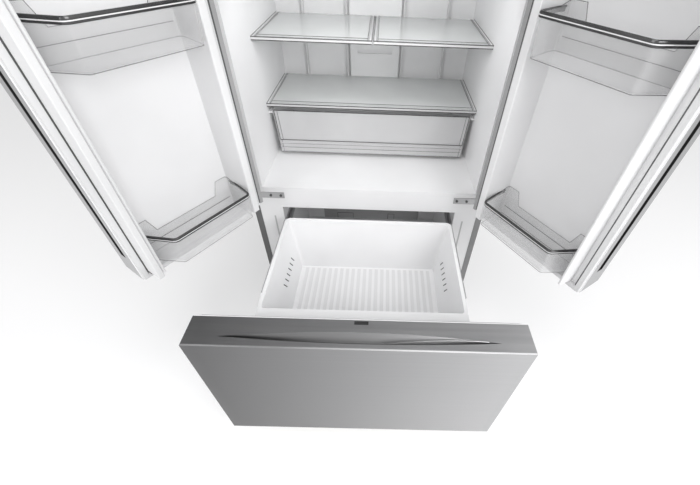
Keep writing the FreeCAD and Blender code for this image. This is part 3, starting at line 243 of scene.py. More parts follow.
# Dark plastic, and painted shade in the channel beside each door's seal.
DARK_PLASTIC_AND_PAINTED_SHADE = plastic("dark_plastic_and_painted_shade", grey(0.09), 0.48, grain=700.0, relief=0.3)
FLAP_GREY = plastic("flap_finish", grey(0.72), 0.4, grain=700.0, relief=0.2)
STEP_GREY = plastic("step_panel_finish", grey(0.42), 0.45, grain=700.0, relief=0.3)
DARK_GREY = plastic("evaporator_cover_finish", grey(0.26), 0.45, grain=700.0, relief=0.3)
# Black plastic, and painted shade in the scoop's crease and along the basket's slots.
BLACK = plastic("black_plastic_and_painted_shade", grey(0.015), 0.42, grain=700.0, relief=0.35, variation=0.2)
# Painted shade for the floors of the freezer frame's grooves.
GROOVE_PAINTED_SHADE = plastic("groove_painted_shade", grey(0.5), 0.62, grain=500.0, relief=0.3)
LIGHT_SEAL = plastic("light_seal_finish", grey(0.66), 0.6, grain=500.0, relief=0.3)
# Painted reflection: the drawer's steel is dark on the left and light on the right.
DRAWER_STEEL_PAINTED_REFLECTION = brushed("drawer_stainless_painted_reflection", grey(0.12), grey(0.47), -0.42, 0.42)
# Painted shade: a darker copy of the drawer's steel for the scoop's hollow, lighter on the right as painted
# reflection.
SCOOP_STEEL_PAINTED_SHADE = brushed("scoop_stainless_painted_shade", grey(0.075), grey(0.26), -0.44, 0.3, rough=0.4)
# Painted glint across the scoop's hollow, bright towards the right.
PAINTED_GLINT = brushed("scoop_painted_glint", grey(0.1), grey(0.62), 0.05, 0.33, rough=0.35)
# Painted highlight along the drawer's front edge, brighter to the right.
PAINTED_EDGE_HIGHLIGHT = painted("drawer_edge_painted_highlight", grey(0.24), 0.3, painted_light_color=grey(0.72))
# Painted reflection: the doors' steel is lighter towards the cabinet's middle.
LEFT_STEEL_PAINTED_REFLECTION = brushed("left_door_stainless_painted_reflection", grey(0.42), grey(0.55), -0.7, -0.4)
RIGHT_STEEL_PAINTED_REFLECTION = brushed("right_door_stainless_painted_reflection", grey(0.5), grey(0.42), 0.4, 0.7)
# Dark grey paint, with painted light that makes the right side lighter.
CABINET_PAINT_AND_PAINTED_LIGHT = painted("cabinet_paint_and_painted_light", grey(0.11), 0.42, painted_light_color=grey(0.22))
RETURN_PAINT = painted("door_return_paint", grey(0.36), 0.4)
ZINC = painted("zinc_finish", grey(0.5), 0.4, metal=0.9)
HINGE_STEEL = painted("hinge_finish", grey(0.4), 0.35, metal=0.9)
SCREW_STEEL = painted("screw_finish", grey(0.1), 0.3, metal=0.9)
FOAM = plastic("foam_finish", (0.74, 0.72, 0.66), 0.85, grain=240.0, relief=0.8)
TRIM = plastic("trim_finish", grey(0.09), 0.2, grain=300.0, relief=0.05, variation=0.02, metal=0.85)
TRIM_LIGHT = plastic("trim_line_finish", grey(0.8), 0.25, grain=300.0, relief=0.05, variation=0.02)
SHELF_TRIM = plastic("shelf_frame_finish", grey(0.62), 0.3, variation=0.02)
CLEAR = clear("clear_moulding", grey(0.88), 0.42, 0.62)
BIN_CLEAR = clear("bin_moulding", grey(0.84), 0.09, 0.5)
# Painted shade: dark lines along the edges of clear mouldings and shelf frames.
EDGE_PAINTED_SHADE = clear("edge_painted_shade_line", grey(0.06), 0.8, 0.97)
FAINT_EDGE_PAINTED_SHADE = clear("faint_edge_painted_shade", grey(0.22), 0.6, 0.9)
GLASS = clear("shelf_glass_finish", (0.93, 0.95, 0.945), 0.4, 0.6, 0.04)
FOOT_WHITE = plastic("foot_finish", grey(0.76), 0.5)
# Painted shade and light: the foot brackets are black on the left, where shade falls, and grey on the right.
BRACKET_PAINT_AND_PAINTED_SHADE = painted("bracket_paint_and_painted_shade", grey(0.006), 0.45, painted_light_color=grey(0.2))
COIL = painted("coil_paint", grey(0.03), 0.35)
FINS = painted("fin_finish", grey(0.7), 0.35, metal=0.9)

FINISH = {
    "cabinet_shell": CABINET_PAINT_AND_PAINTED_LIGHT, "back_panel": ZINC, "rear_cover": ZINC, "base_frame": ZINC,
    "cabinet_insulation": FOAM, "left_door_insulation": FOAM, "right_door_insulation": FOAM,
    "drawer_insulation": FOAM, "fresh_food_liner": WHITE, "freezer_liner": WHITE, "divider_cover": WHITE,
    "air_duct": WHITE, "shelf_tracks": SHELF_TRIM, "lamp_lens": BIN_CLEAR, "evaporator_cover": DARK_GREY,
    "evaporator": FINS, "evaporator_fan": BLACK, "condenser_fan": BLACK, "fan_bracket": ZINC,
    "condenser": COIL, "compressor": COIL, "drain_pan": BLACK, "foot_brackets": BRACKET_PAINT_AND_PAINTED_SHADE,
    "levelling_foot_left": FOOT_WHITE, "levelling_foot_right": FOOT_WHITE, "rear_rollers": GREY_PLASTIC,
    "left_door_skin": LEFT_STEEL_PAINTED_REFLECTION, "right_door_skin": RIGHT_STEEL_PAINTED_REFLECTION, "drawer_skin": DRAWER_STEEL_PAINTED_REFLECTION,
    "left_door_end_caps": GREY_PLASTIC, "right_door_end_caps": GREY_PLASTIC, "left_door_liner": DOOR_WHITE,
    "right_door_liner": DOOR_WHITE, "drawer_liner": WHITE, "left_door_gasket": LIGHT_SEAL,
    "right_door_gasket": LIGHT_SEAL, "drawer_gasket": LIGHT_SEAL, "left_door_grip": BLACK,
    "right_door_grip": BLACK, "left_door_bins": BIN_CLEAR, "right_door_bins": BIN_CLEAR,
    "left_door_bin_trims": TRIM, "right_door_bin_trims": TRIM, "mullion_flap": FLAP_GREY,
    "mullion_brackets": DARK_PLASTIC_AND_PAINTED_SHADE, "drawer_sensor_plate": BLACK, "freezer_basket": BASKET,
    "drawer_rails_fixed": ZINC, "drawer_rails_middle": ZINC, "drawer_rails_moving": ZINC,
    "crisper_shelf_glass": GLASS, "crisper_shelf_frame": SHELF_TRIM, "upper_shelf_glass": GLASS,
    "upper_shelf_frames": SHELF_TRIM, "crisper_drawer": CLEAR, "top_hinges": ZINC,
    "top_hinge_covers": GREY_PLASTIC, "middle_hinges": HINGE_STEEL, "hinge_screws": SCREW_STEEL,
}


def dress(node, finish):
    """Give a CAD node its finish in every slot."""
    obj = NODES[node]
    if not obj.data.materials:
        obj.data.materials.append(finish)
    for index in range(len(obj.material_slots)):
        obj.material_slots[index].material = finish


SOFT_ANGLE, SHARP_ANGLE, STRAIGHT = math.radians(40), math.radians(32), math.radians(89)


def soften(obj, width, segments=2):
    """Round an object's edges off, with the given width of bevel."""
    soft = obj.modifiers.new("soft_edges", "BEVEL")
    soft.width = width
    soft.segments = segments
    soft.limit_method = "ANGLE"
    soft.angle_limit = SOFT_ANGLE


SKIN_BEVEL, SKIN_BEVEL_SEGMENTS = 0.005, 5
SOFT_EDGES = {
    "left_door_skin": 0.0012, "right_door_skin": 0.0012, "left_door_liner": 0.0007,
    "right_door_liner": 0.0007, "drawer_liner": 0.0007, "fresh_food_liner": 0.0007, "freezer_liner": 0.0007,
    "mullion_flap": 0.0008, "crisper_shelf_frame": 0.0012, "upper_shelf_frames": 0.0012,
    "crisper_drawer": 0.0006, "foot_brackets": 0.0008, "divider_cover": 0.0005, "middle_hinges": 0.0006,
    "drawer_sensor_plate": 0.0004,
}

for node, finish in FINISH.items():
    dress(node, finish)
for node, width in SOFT_EDGES.items():
    soften(NODES[node], width)
soften(NODES["drawer_skin"], SKIN_BEVEL, SKIN_BEVEL_SEGMENTS)


# Plan outlines, lofts and lines, for the pieces that the frame carries

def rounded(points, radius, steps=5, closed=True):
    """A plan path whose corners are arcs."""
    path = []
    for i, corner in enumerate(points):
        corner = Vector(corner)
        if not closed and i in (0, len(points) - 1):
            path.append(corner)
            continue
        to_before = (Vector(points[i - 1]) - corner).normalized()
        to_after = (Vector(points[(i + 1) % len(points)]) - corner).normalized()
        half = to_before.angle(to_after) / 2
        if half > STRAIGHT:
            path.append(corner)
            continue
        centre = corner + (to_before + to_after).normalized() * radius / math.sin(half)
        arms = [corner + arm * radius / math.tan(half) - centre for arm in (to_before, to_after)]
        start, end = (math.atan2(arm.y, arm.x) for arm in arms)
        sweep = (end - start + math.pi) % (2 * math.pi) - math.pi
        for step in range(steps + 1):
            angle = start + sweep * step / steps
            path.append(centre + radius * Vector((math.cos(angle), math.sin(angle))))
    return path


def offset(path, distance, closed=True):
    """The path moved outward, to its right-hand side, with mitred corners."""
    moved = []
    last = len(path) - 1
    for i, point in enumerate(path):
        arriving = point - path[i - 1] if closed or i > 0 else path[1] - point
        leaving = path[(i + 1) % len(path)] - point if closed or i < last else arriving
        arriving, leaving = arriving.normalized(), leaving.normalized()
        along = (arriving + leaving).normalized()
        side = Vector((along.y, -along.x))
        moved.append(point + side * distance / max(0.5, along.dot(leaving)))
    return moved


def loft(bm, rings, closed=True):
    """Quads between rings of equal count; returns the rings' vertices."""
    rows = [[bm.verts.new(point) for point in ring] for ring in rings]
    for low, high in zip(rows, rows[1:]):
        for i in range(len(low) if closed else len(low) - 1):
            j = (i + 1) % len(low)
            bm.faces.new((low[i], low[j], high[j], high[i]))
    return rows


def box_into(bm, low, high):
    """An eight-cornered block, for strips and plates that get rounded edges."""
    corners = [(low[0], low[1]), (high[0], low[1]), (high[0], high[1]), (low[0], high[1])]
    rows = loft(bm, [[(x, y, z) for x, y in corners] for z in (low[2], high[2])])
    bm.faces.new(rows[0])
    bm.faces.new(rows[1])


def piece(name, bm, finish, body, place=Matrix(), soft=0.0):
    """Turn a drawn form into a piece that rides on a body."""
    bmesh.ops.transform(bm, matrix=place, verts=bm.verts)
    bmesh.ops.recalc_face_normals(bm, faces=bm.faces)
    mesh = bpy.data.meshes.new(name)
    bm.to_mesh(mesh)
    bm.free()
    mesh.materials.append(finish)
    mesh.shade_smooth()
    mesh.set_sharp_from_angle(angle=SHARP_ANGLE)
    obj = bpy.data.objects.new(name, mesh)
    scene.collection.objects.link(obj)
    if soft:
        soften(obj, soft)
    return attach(obj, body)


def lines(name, paths, radius, finish, body, place=Matrix()):
    """Round beads along straight or bent lines, such as painted shade along the moulded edges of clear
    plastic.
    """
    data = bpy.data.curves.new(name, "CURVE")
    data.dimensions = "3D"
    data.bevel_depth = radius
    data.bevel_resolution = 1
    data.use_fill_caps = True
    for path in paths:
        spline = data.splines.new("POLY")
        spline.points.add(len(path) - 1)
        for point, target in zip(spline.points, path):
            point.co = (*(place @ Vector(target)), 1)
    data.materials.append(finish)
    obj = bpy.data.objects.new(name, data)
    scene.collection.objects.link(obj)
    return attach(obj, body)


# Doors: everything is drawn on the left door as it stands closed, then swung open or mirrored

HINGE = JOINTS["left_door_hinge"]
PIVOT = Matrix.Translation(Vector(HINGE["pos_m"]))
SWUNG = PIVOT @ Matrix.Rotation(math.radians(HINGE["range_deg"][0]), 4, "Z") @ PIVOT.inverted()
DOORS = {"left": SWUNG, "right": Matrix.Scale(-1, 4, Vector((1, 0, 0))) @ SWUNG}


def closed_box(node):
    """Lowest and highest corners of a left-door node with the door closed."""
    back = SWUNG.inverted()
    points = [back @ v.co for v in NODES[node].data.vertices]
    return (Vector(min(p[i] for p in points) for i in range(3)),
            Vector(max(p[i] for p in points) for i in range(3)))


LINER_LOW, LINER_HIGH = closed_box("left_door_liner")
GASKET_LOW, GASKET_HIGH = closed_box("left_door_gasket")
BIN_LOW, BIN_HIGH = closed_box("left_door_bins")
RIM_FACE = GASKET_LOW.y

BIN_LEVELS = (0.676, 1.205, 1.470)
BIN_TALL = 0.098
BIN_CHAMFER, BIN_HINGE_CHAMFER, BIN_DRAFT, BIN_WALL, BIN_ROUND = 0.050, 0.012, 0.008, 0.0025, 0.009
BIN_END_SHARE, TRIM_END_SHARE = 0.2, 0.1
BIN_FOOT_ROUND, BIN_FOOT_EDGE, BIN_FLOOR_ROUND, BIN_BACK_STEP = 0.004, 0.0012, 2.4, 0.36
TAB_LONG, TAB_SLOPE, TAB_RISE, BACK_DIP, TAB_REACH = 0.042, 0.016, 0.014, 0.034, 0.03
BIN_EDGE_BEAD, BIN_STEP_BEAD, TRIM_LINE_BEAD = 0.0009, 0.0008, 0.0013


def bin_plan(draw):
    """Plan of a bin, from the hinge end of its back wall, with the points where that wall's edge steps."""
    y_end = BIN_LOW.y + (BIN_HIGH.y - BIN_LOW.y) * BIN_END_SHARE
    front = BIN_HIGH.y - draw
    return [(BIN_LOW.x, BIN_LOW.y), (BIN_LOW.x + TAB_LONG, BIN_LOW.y),
            (BIN_LOW.x + TAB_LONG + TAB_SLOPE, BIN_LOW.y), (BIN_HIGH.x - TAB_LONG - TAB_SLOPE, BIN_LOW.y),
            (BIN_HIGH.x - TAB_LONG, BIN_LOW.y), (BIN_HIGH.x, BIN_LOW.y), (BIN_HIGH.x, y_end),
            (BIN_HIGH.x - BIN_CHAMFER, front), (BIN_LOW.x + BIN_HINGE_CHAMFER, front),
            (BIN_LOW.x, y_end + BIN_HINGE_CHAMFER)]


def edge_height(point):
    """How far a bin's edge stands above its rim: up at the ends of the back wall, down between them."""
    nearness = 1 - (point.y - BIN_LOW.y) / TAB_REACH
    if nearness <= 0:
        return 0.0
    from_end = min(point.x - BIN_LOW.x, BIN_HIGH.x - point.x)
    if from_end > TAB_LONG + TAB_SLOPE / 2:
        return -BACK_DIP
    return TAB_RISE * nearness


def bin_rings(low):
    """Rings of one bin from under its floor, over its edge and down to its floor inside."""
    top = low + BIN_TALL
    levels = ((BIN_FOOT_ROUND, low, BIN_DRAFT), (BIN_FOOT_EDGE, low + BIN_FOOT_EDGE, BIN_DRAFT),
              (0, low + BIN_FOOT_ROUND, BIN_DRAFT), (0, top, 0), (BIN_WALL, top, 0),
              (BIN_WALL, low + BIN_FLOOR_ROUND * BIN_WALL, BIN_DRAFT),
              (2 * BIN_WALL, low + BIN_WALL, BIN_DRAFT))
    rings = []
    for inset, z, draw in levels:
        path = rounded(bin_plan(draw), BIN_ROUND)
        height = [edge_height(point) if z == top else 0.0 for point in path]
        rings.append([(p.x, p.y, z + h) for p, h in zip(offset(path, -inset), height)])
    return rings


TRIM_SECTION = ((-0.0022, -0.001), (-0.0022, 0.0012), (-0.0008, 0.0028), (0.0018, 0.0028), (0.0036, 0.0012),
                (0.0042, -0.001), (0.0042, -0.0034), (0.0034, -0.0042), (0.0034, -0.0056), (0.0042, -0.0064),
                (0.0042, -0.0092), (0.0034, -0.0106), (0.0004, -0.011), (0.0004, -0.001))
TRIM_LINE_UP, TRIM_LINE_OUT = -0.0049, 0.0036
TRIM_ROUND, TRIM_STEPS = BIN_ROUND * 1.4, 6


def trim_path():
    """The rim that the trim follows, from the free end round the front to the hinge end."""
    y_from = BIN_LOW.y + (BIN_HIGH.y - BIN_LOW.y) * TRIM_END_SHARE
    corners = [(BIN_HIGH.x, y_from)] + bin_plan(0)[6:] + [(BIN_LOW.x, y_from)]
    return rounded(corners, TRIM_ROUND, TRIM_STEPS, closed=False)


def door_bins(side, place):
    """Clear bins with their dark, light-lined trims, for one door."""
    shells, trims = bmesh.new(), bmesh.new()
    edges, trim_lines, back_steps = [], [], []
    for low in BIN_LEVELS:
        rings = bin_rings(low)
        rows = loft(shells, rings)
        shells.faces.new(rows[0])
        shells.faces.new(rows[-1])
        path = trim_path()
        top = low + BIN_TALL
        sections = [[(p.x, p.y, top + up) for p in offset(path, out, closed=False)]
                    for out, up in TRIM_SECTION]
        rows = loft(trims, [list(ring) for ring in zip(*sections)])
        trims.faces.new(rows[0])
        trims.faces.new(rows[-1])
        trim_lines.append([(p.x, p.y, top + TRIM_LINE_UP) for p in offset(path, TRIM_LINE_OUT, closed=False)])
        for ring in (rings[3], rings[1]):
            edges.append(ring + ring[:1])
        step = low + BIN_TALL * BIN_BACK_STEP
        back_steps.append([(BIN_LOW.x + BIN_ROUND, BIN_LOW.y + BIN_WALL, step),
                           (BIN_HIGH.x - BIN_ROUND, BIN_LOW.y + BIN_WALL, step)])
    body = side + "_door"
    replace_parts(piece(side + "_bins", shells, BIN_CLEAR, body, place), side + "_door_bins")
    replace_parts(piece(side + "_bin_trims", trims, TRIM, body, place), side + "_door_bin_trims")
    lines(side + "_bin_trim_lines", trim_lines, TRIM_LINE_BEAD, TRIM_LIGHT, body, place)
    # Painted shade: dark lines along the bins' edges and the steps in their back walls.
    lines(side + "_bin_edge_painted_shade", edges, BIN_EDGE_BEAD, FAINT_EDGE_PAINTED_SHADE, body, place)
    lines(side + "_bin_back_step_painted_shade", back_steps, BIN_STEP_BEAD, FAINT_EDGE_PAINTED_SHADE, body, place)


RETURN_WIDE, CHANNEL_WIDE, STRIP_THICK, STRIP_SOFT = 0.013, 0.010, 0.0006, 0.0002
SEAM_WIDE, SEAM_THICK, SEAM_INSET, SEAM_SHORT = 0.003, 0.0003, 0.016, 0.02


def door_edges(side, place):
    """Steel return at the hinge edge, painted shade in the seal's channel, and the seam along the seal's free
    side.
    """
    body = side + "_door"
    strip = bmesh.new()
    box_into(strip, (LINER_LOW.x, RIM_FACE, LINER_LOW.z),
             (LINER_LOW.x + RETURN_WIDE, RIM_FACE + STRIP_THICK, LINER_HIGH.z))
    piece(side + "_door_return", strip, RETURN_PAINT, body, place, STRIP_SOFT)
    # Painted shade: a dark strip in the channel between the steel return and the seal.
    channel = bmesh.new()
    box_into(channel, (LINER_LOW.x + RETURN_WIDE, RIM_FACE, GASKET_LOW.z),
             (LINER_LOW.x + RETURN_WIDE + CHANNEL_WIDE, RIM_FACE + STRIP_THICK / 2, GASKET_HIGH.z))
    piece(side + "_door_channel_painted_shade", channel, DARK_PLASTIC_AND_PAINTED_SHADE, body, place, STRIP_SOFT / 2)
    seam = bmesh.new()
    middle = GASKET_HIGH.x - SEAM_INSET
    box_into(seam, (middle - SEAM_WIDE / 2, GASKET_HIGH.y, GASKET_LOW.z + SEAM_SHORT),
             (middle + SEAM_WIDE / 2, GASKET_HIGH.y + SEAM_THICK, GASKET_HIGH.z - SEAM_SHORT))
    piece(side + "_gasket_seam", seam, DARK_PLASTIC_AND_PAINTED_SHADE, body, place, STRIP_SOFT / 2)


for side, place in DOORS.items():
    door_bins(side, place)
    door_edges(side, place)

STOP_LONG, STOP_DEEP, STOP_HIGH, STOP_INSET, STOP_SOFT = 0.04, 0.02, 0.007, 0.012, 0.0012


def door_stop():
    """Block under the right door's free corner."""
    stop = bmesh.new()
    box_into(stop, (LINER_HIGH.x - STOP_INSET - STOP_LONG, RIM_FACE - STOP_DEEP, LINER_LOW.z - STOP_HIGH),
             (LINER_HIGH.x - STOP_INSET, RIM_FACE, LINER_LOW.z))
    piece("right_door_stop", stop, BLACK, "right_door", DOORS["right"], STOP_SOFT)


door_stop()


# Clear crisper: painted shade in dark lines along its moulded edges

CRISPER_LOW, CRISPER_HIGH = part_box("crisper_drawer")
CRISPER_LIP, CRISPER_TAPER, CRISPER_BAND, EDGE_PAIR = 0.011, 0.010, 0.054, 0.012
CRISPER_FRONT, EDGE_INSET, BAND_LINES = CRISPER_LOW.y + 0.0035, 0.0045, (0.3, 0.62)
CRISPER_BEAD, CRISPER_SOFT_BEAD = 0.0017, 0.0012


def crisper_lines():
    """Lines along the edges of the tub's front, doubled at its sides, and across its lower band."""
    top_half = CRISPER_HIGH.x - CRISPER_LIP - EDGE_INSET
    tall = CRISPER_HIGH.z - CRISPER_LOW.z

    def at(side, z, inward=0.0):
        """Point on the left or right edge of the tub's front, at a height."""
        half = top_half - CRISPER_TAPER * (CRISPER_HIGH.z - z) / tall - inward
        return side * half, CRISPER_FRONT, z

    band = CRISPER_LOW.z + CRISPER_BAND
    strong = [[at(-1, band), at(1, band)], [at(-1, CRISPER_HIGH.z), at(1, CRISPER_HIGH.z)]]
    soft = [[at(-1, CRISPER_LOW.z), at(1, CRISPER_LOW.z)]]
    for side in (-1, 1):
        strong.append([at(side, CRISPER_HIGH.z), at(side, band)])
        soft.append([at(side, CRISPER_HIGH.z, EDGE_PAIR), at(side, band, EDGE_PAIR)])
        soft.append([at(side, band, EDGE_PAIR / 2), at(side, CRISPER_LOW.z, EDGE_PAIR / 2)])
    for share in BAND_LINES:
        soft.append([at(-1, band - CRISPER_BAND * share), at(1, band - CRISPER_BAND * share)])
    # Painted shade: dark beads along the tub's edges and across its lower band.
    lines("crisper_edge_painted_shade", strong, CRISPER_BEAD, EDGE_PAINTED_SHADE, "crisper")
    lines("crisper_soft_edge_painted_shade", soft, CRISPER_SOFT_BEAD, FAINT_EDGE_PAINTED_SHADE, "crisper")


crisper_lines()


# Shelves: painted shade in dark lines along their frames

SHELF_RAIL, SHELF_THICK, SHELF_GAP = 0.014, 0.010, 0.003
SHELF_BEAD, SHELF_SOFT_BEAD = 0.0016, 0.0012


def shelf_lines(x_from, x_to, y_front, y_back, top):
    """Strong lines along a shelf's front rail, and softer ones behind it and along both side rails."""
    inner_from, inner_to = x_from + SHELF_RAIL, x_to - SHELF_RAIL
    front_inner = y_front + 2 * SHELF_RAIL
    strong = [[(x_from, y_front, z), (x_to, y_front, z)] for z in (top, top - SHELF_THICK)]
    soft = [[(inner_from, front_inner, top), (inner_to, front_inner, top)]]
    for edge in (x_from, inner_from, inner_to, x_to):
        soft.append([(edge, y_front, top), (edge, y_back, top)])
    return strong, soft


def all_shelf_lines():
    """The wide shelf over the crisper, and two half-width ones at each upper level."""
    low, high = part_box("crisper_shelf_frame")
    strong, soft = shelf_lines(low.x, high.x, low.y, high.y, high.z)
    low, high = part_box("upper_shelf_frames")
    for top in (low.z + SHELF_THICK, high.z):
        for x_from, x_to in ((low.x, -SHELF_GAP), (SHELF_GAP, high.x)):
            more_strong, more_soft = shelf_lines(x_from, x_to, low.y, high.y, top)
            strong += more_strong
            soft += more_soft
    # Painted shade: dark beads along the shelves' rails.
    lines("shelf_edge_painted_shade", strong, SHELF_BEAD, EDGE_PAINTED_SHADE, "cabinet")
    lines("shelf_side_edge_painted_shade", soft, SHELF_SOFT_BEAD, EDGE_PAINTED_SHADE, "cabinet")


all_shelf_lines()


# Freezer frame: painted shade on the floor of the groove in each side

GROOVE_NEAR, GROOVE_WIDE, GROOVE_LOW, GROOVE_HIGH = 0.3755, 0.006, 0.237, 0.528
GROOVE_UNDER, GROOVE_TOP, GROOVE_SOFT = 0.0004, 0.001, 0.0002
FREEZER_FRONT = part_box("freezer_liner")[0].y


def groove_floors():
    # A grey strip of painted shade on the floor of each groove.
    grooves = bmesh.new()
    for side in (-1, 1):
        near, far = sorted((side * GROOVE_NEAR, side * (GROOVE_NEAR + GROOVE_WIDE)))
        box_into(grooves, (near, FREEZER_FRONT + GROOVE_UNDER, GROOVE_LOW),
                 (far, FREEZER_FRONT + GROOVE_TOP, GROOVE_HIGH))
    piece("frame_groove_painted_shade", grooves, GROOVE_PAINTED_SHADE, "cabinet", soft=GROOVE_SOFT)


groove_floors()


# Freezer: the dark panel with its vents on the step at the back

STEP_FACE, STEP_HALF, STEP_LOW, STEP_HIGH, STEP_THICK, STEP_SOFT = 0.397, 0.255, 0.13, 0.262, 0.0018, 0.0008
VENTS = ((-0.183, -0.099, 0.175, 0.225), (0.09, 0.124, 0.175, 0.225))
VENT_BEAD = 0.0016


def step_panel():
    front = STEP_FACE - STEP_THICK
    panel = bmesh.new()
    box_into(panel, (-STEP_HALF, front, STEP_LOW), (STEP_HALF, STEP_FACE, STEP_HIGH))
    piece("freezer_step_panel", panel, STEP_GREY, "cabinet", soft=STEP_SOFT)
    rims = [[(x0, front, z0), (x1, front, z0), (x1, front, z1), (x0, front, z1), (x0, front, z0)]
            for x0, x1, z0, z1 in VENTS]
    lines("freezer_vent_rims", rims, VENT_BEAD, BLACK, "cabinet")


step_panel()


# Freezer drawer: the lip of its gasket that shows behind the steel top

SEAL_LOW, SEAL_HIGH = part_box("drawer_gasket")
LIP_INSET, LIP_UP, LIP_TALL, LIP_DEEP, LIP_SOFT = 0.009, 0.003, 0.010, 0.009, 0.0025


def gasket_lip():
    lip = bmesh.new()
    middle = SEAL_HIGH.z + LIP_UP
    box_into(lip, (SEAL_LOW.x + LIP_INSET, SEAL_LOW.y, middle - LIP_TALL / 2),
             (SEAL_HIGH.x - LIP_INSET, SEAL_LOW.y + LIP_DEEP, middle + LIP_TALL / 2))
    piece("drawer_gasket_lip", lip, LIGHT_SEAL, "freezer_drawer", soft=LIP_SOFT)


gasket_lip()


# Freezer drawer: the scooped surface of its grip with painted shade, and a painted highlight on its front
# edge

SKIN_LOW, SKIN_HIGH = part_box("drawer_skin")
SCOOP_HALF, SCOOP_WIDE, SCOOP_SETBACK, SCOOP_END_SHARE = 0.370, 0.034, 0.017, 0.35
SCOOP_LONG, SCOOP_DEEP, SCOOP_FALL, SCOOP_SINK = SCOOP_HALF * 0.99, 0.0198, 1.3, 0.0004
SCOOP_STATIONS, SCOOP_ROWS = 48, 7
CREASE_HALF, CREASE_BACK, CREASE_SINK, CREASE_BEAD = SCOOP_HALF * 0.93, 0.0006, 0.0012, 0.0016
GLINT_FROM, GLINT_TO, GLINT_START, GLINT_REACH = 0.06, 0.345, 0.06, 0.84
GLINT_SINK, GLINT_BEAD = 0.0002, 0.0014


def lens_line(x, middle):
    """Y of the scoop's edge at x: a shallow arc through the lens's ends and its middle."""
    end = SKIN_LOW.y + SCOOP_SETBACK + SCOOP_WIDE * SCOOP_END_SHARE
    return middle + (end - middle) * (x / SCOOP_HALF) ** 2


def scoop():
    """Hollow from the lens's back edge to under its front edge; painted shade in its crease, a painted glint.
    """
    front = SKIN_LOW.y + SCOOP_SETBACK
    form = bmesh.new()
    rings, crease, glint = [], [], []
    for i in range(SCOOP_STATIONS + 1):
        x = SCOOP_LONG * (2 * i / SCOOP_STATIONS - 1)
        near, far = lens_line(x, front), lens_line(x, front + SCOOP_WIDE)
        deep = SCOOP_DEEP * (1 - (x / SCOOP_HALF) ** 2) ** 0.5
        ring = []
        for j in range(SCOOP_ROWS + 1):
            share = j / SCOOP_ROWS
            fall = math.sin(share * math.pi / 2) ** SCOOP_FALL
            ring.append((x, far + (near - far) * share, SKIN_HIGH.z - SCOOP_SINK - deep * fall))
        rings.append(ring)
        if abs(x) < CREASE_HALF:
            crease.append((x, near + CREASE_BACK, SKIN_HIGH.z - CREASE_SINK))
        if GLINT_FROM < x < GLINT_TO:
            share = GLINT_START + GLINT_REACH * (x - GLINT_FROM) / (GLINT_TO - GLINT_FROM)
            glint.append((x, near + (far - near) * share, SKIN_HIGH.z - GLINT_SINK))
    loft(form, rings, closed=False)
    # Painted shade: the hollow in darker steel.
    piece("scoop_hollow", form, SCOOP_STEEL_PAINTED_SHADE, "freezer_drawer")
    # Painted shade: a black bead in the crease under the front lip.
    lines("scoop_crease_painted_shade", [crease], CREASE_BEAD, BLACK, "freezer_drawer")
    # Painted glint: a bright bead across the hollow, reaching its far edge on the right.
    lines("scoop_glint", [glint], GLINT_BEAD, PAINTED_GLINT, "freezer_drawer")


scoop()

EDGE_DEEP, EDGE_PROUD, EDGE_BACK, EDGE_SOFT = 0.0046, 0.0007, 0.0001, 0.0005


# A strip of painted highlight along the drawer's front top edge, brighter to the right.
def front_edge():
    strip = bmesh.new()
    box_into(strip, (SKIN_LOW.x + EDGE_PROUD, SKIN_LOW.y + EDGE_BACK, SKIN_HIGH.z - EDGE_PROUD),
             (SKIN_HIGH.x - EDGE_PROUD, SKIN_LOW.y + EDGE_DEEP, SKIN_HIGH.z + EDGE_PROUD))
    piece("drawer_front_painted_highlight", strip, PAINTED_EDGE_HIGHLIGHT, "freezer_drawer", soft=EDGE_SOFT)


front_edge()


# Freezer basket: the flange to the steel front, and painted shade between its ribs and in its slots

BASKET_LOW, BASKET_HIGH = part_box("freezer_basket")
PAD_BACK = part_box("drawer_liner")[1].y
FLANGE_THICK, FLANGE_LAP, FLANGE_INSET, FLANGE_PROUD, FLANGE_SOFT = 0.003, 0.0085, 0.001, 0.0006, 0.0005
BASKET_DRAFT, BASKET_WALL, BASKET_RIM, BASKET_CORNER = 0.034, 0.003, 0.008, 0.012
RIB_COUNT, RIB_WIDE = 23, 0.005
VALLEY_RISE, VALLEY_SHARE, VALLEY_SOFT = 0.0006, 0.72, 0.0003
SLOT_COUNT, SLOT_PITCH, SLOT_TALL, SLOT_LEAN, SLOT_BASE, SLOT_MIDDLE = 6, 0.026, 0.0236, 0.011, 0.42, 0.002
SLOT_BEAD, SLOT_ENDS = 0.002, (-0.12, 1.12)


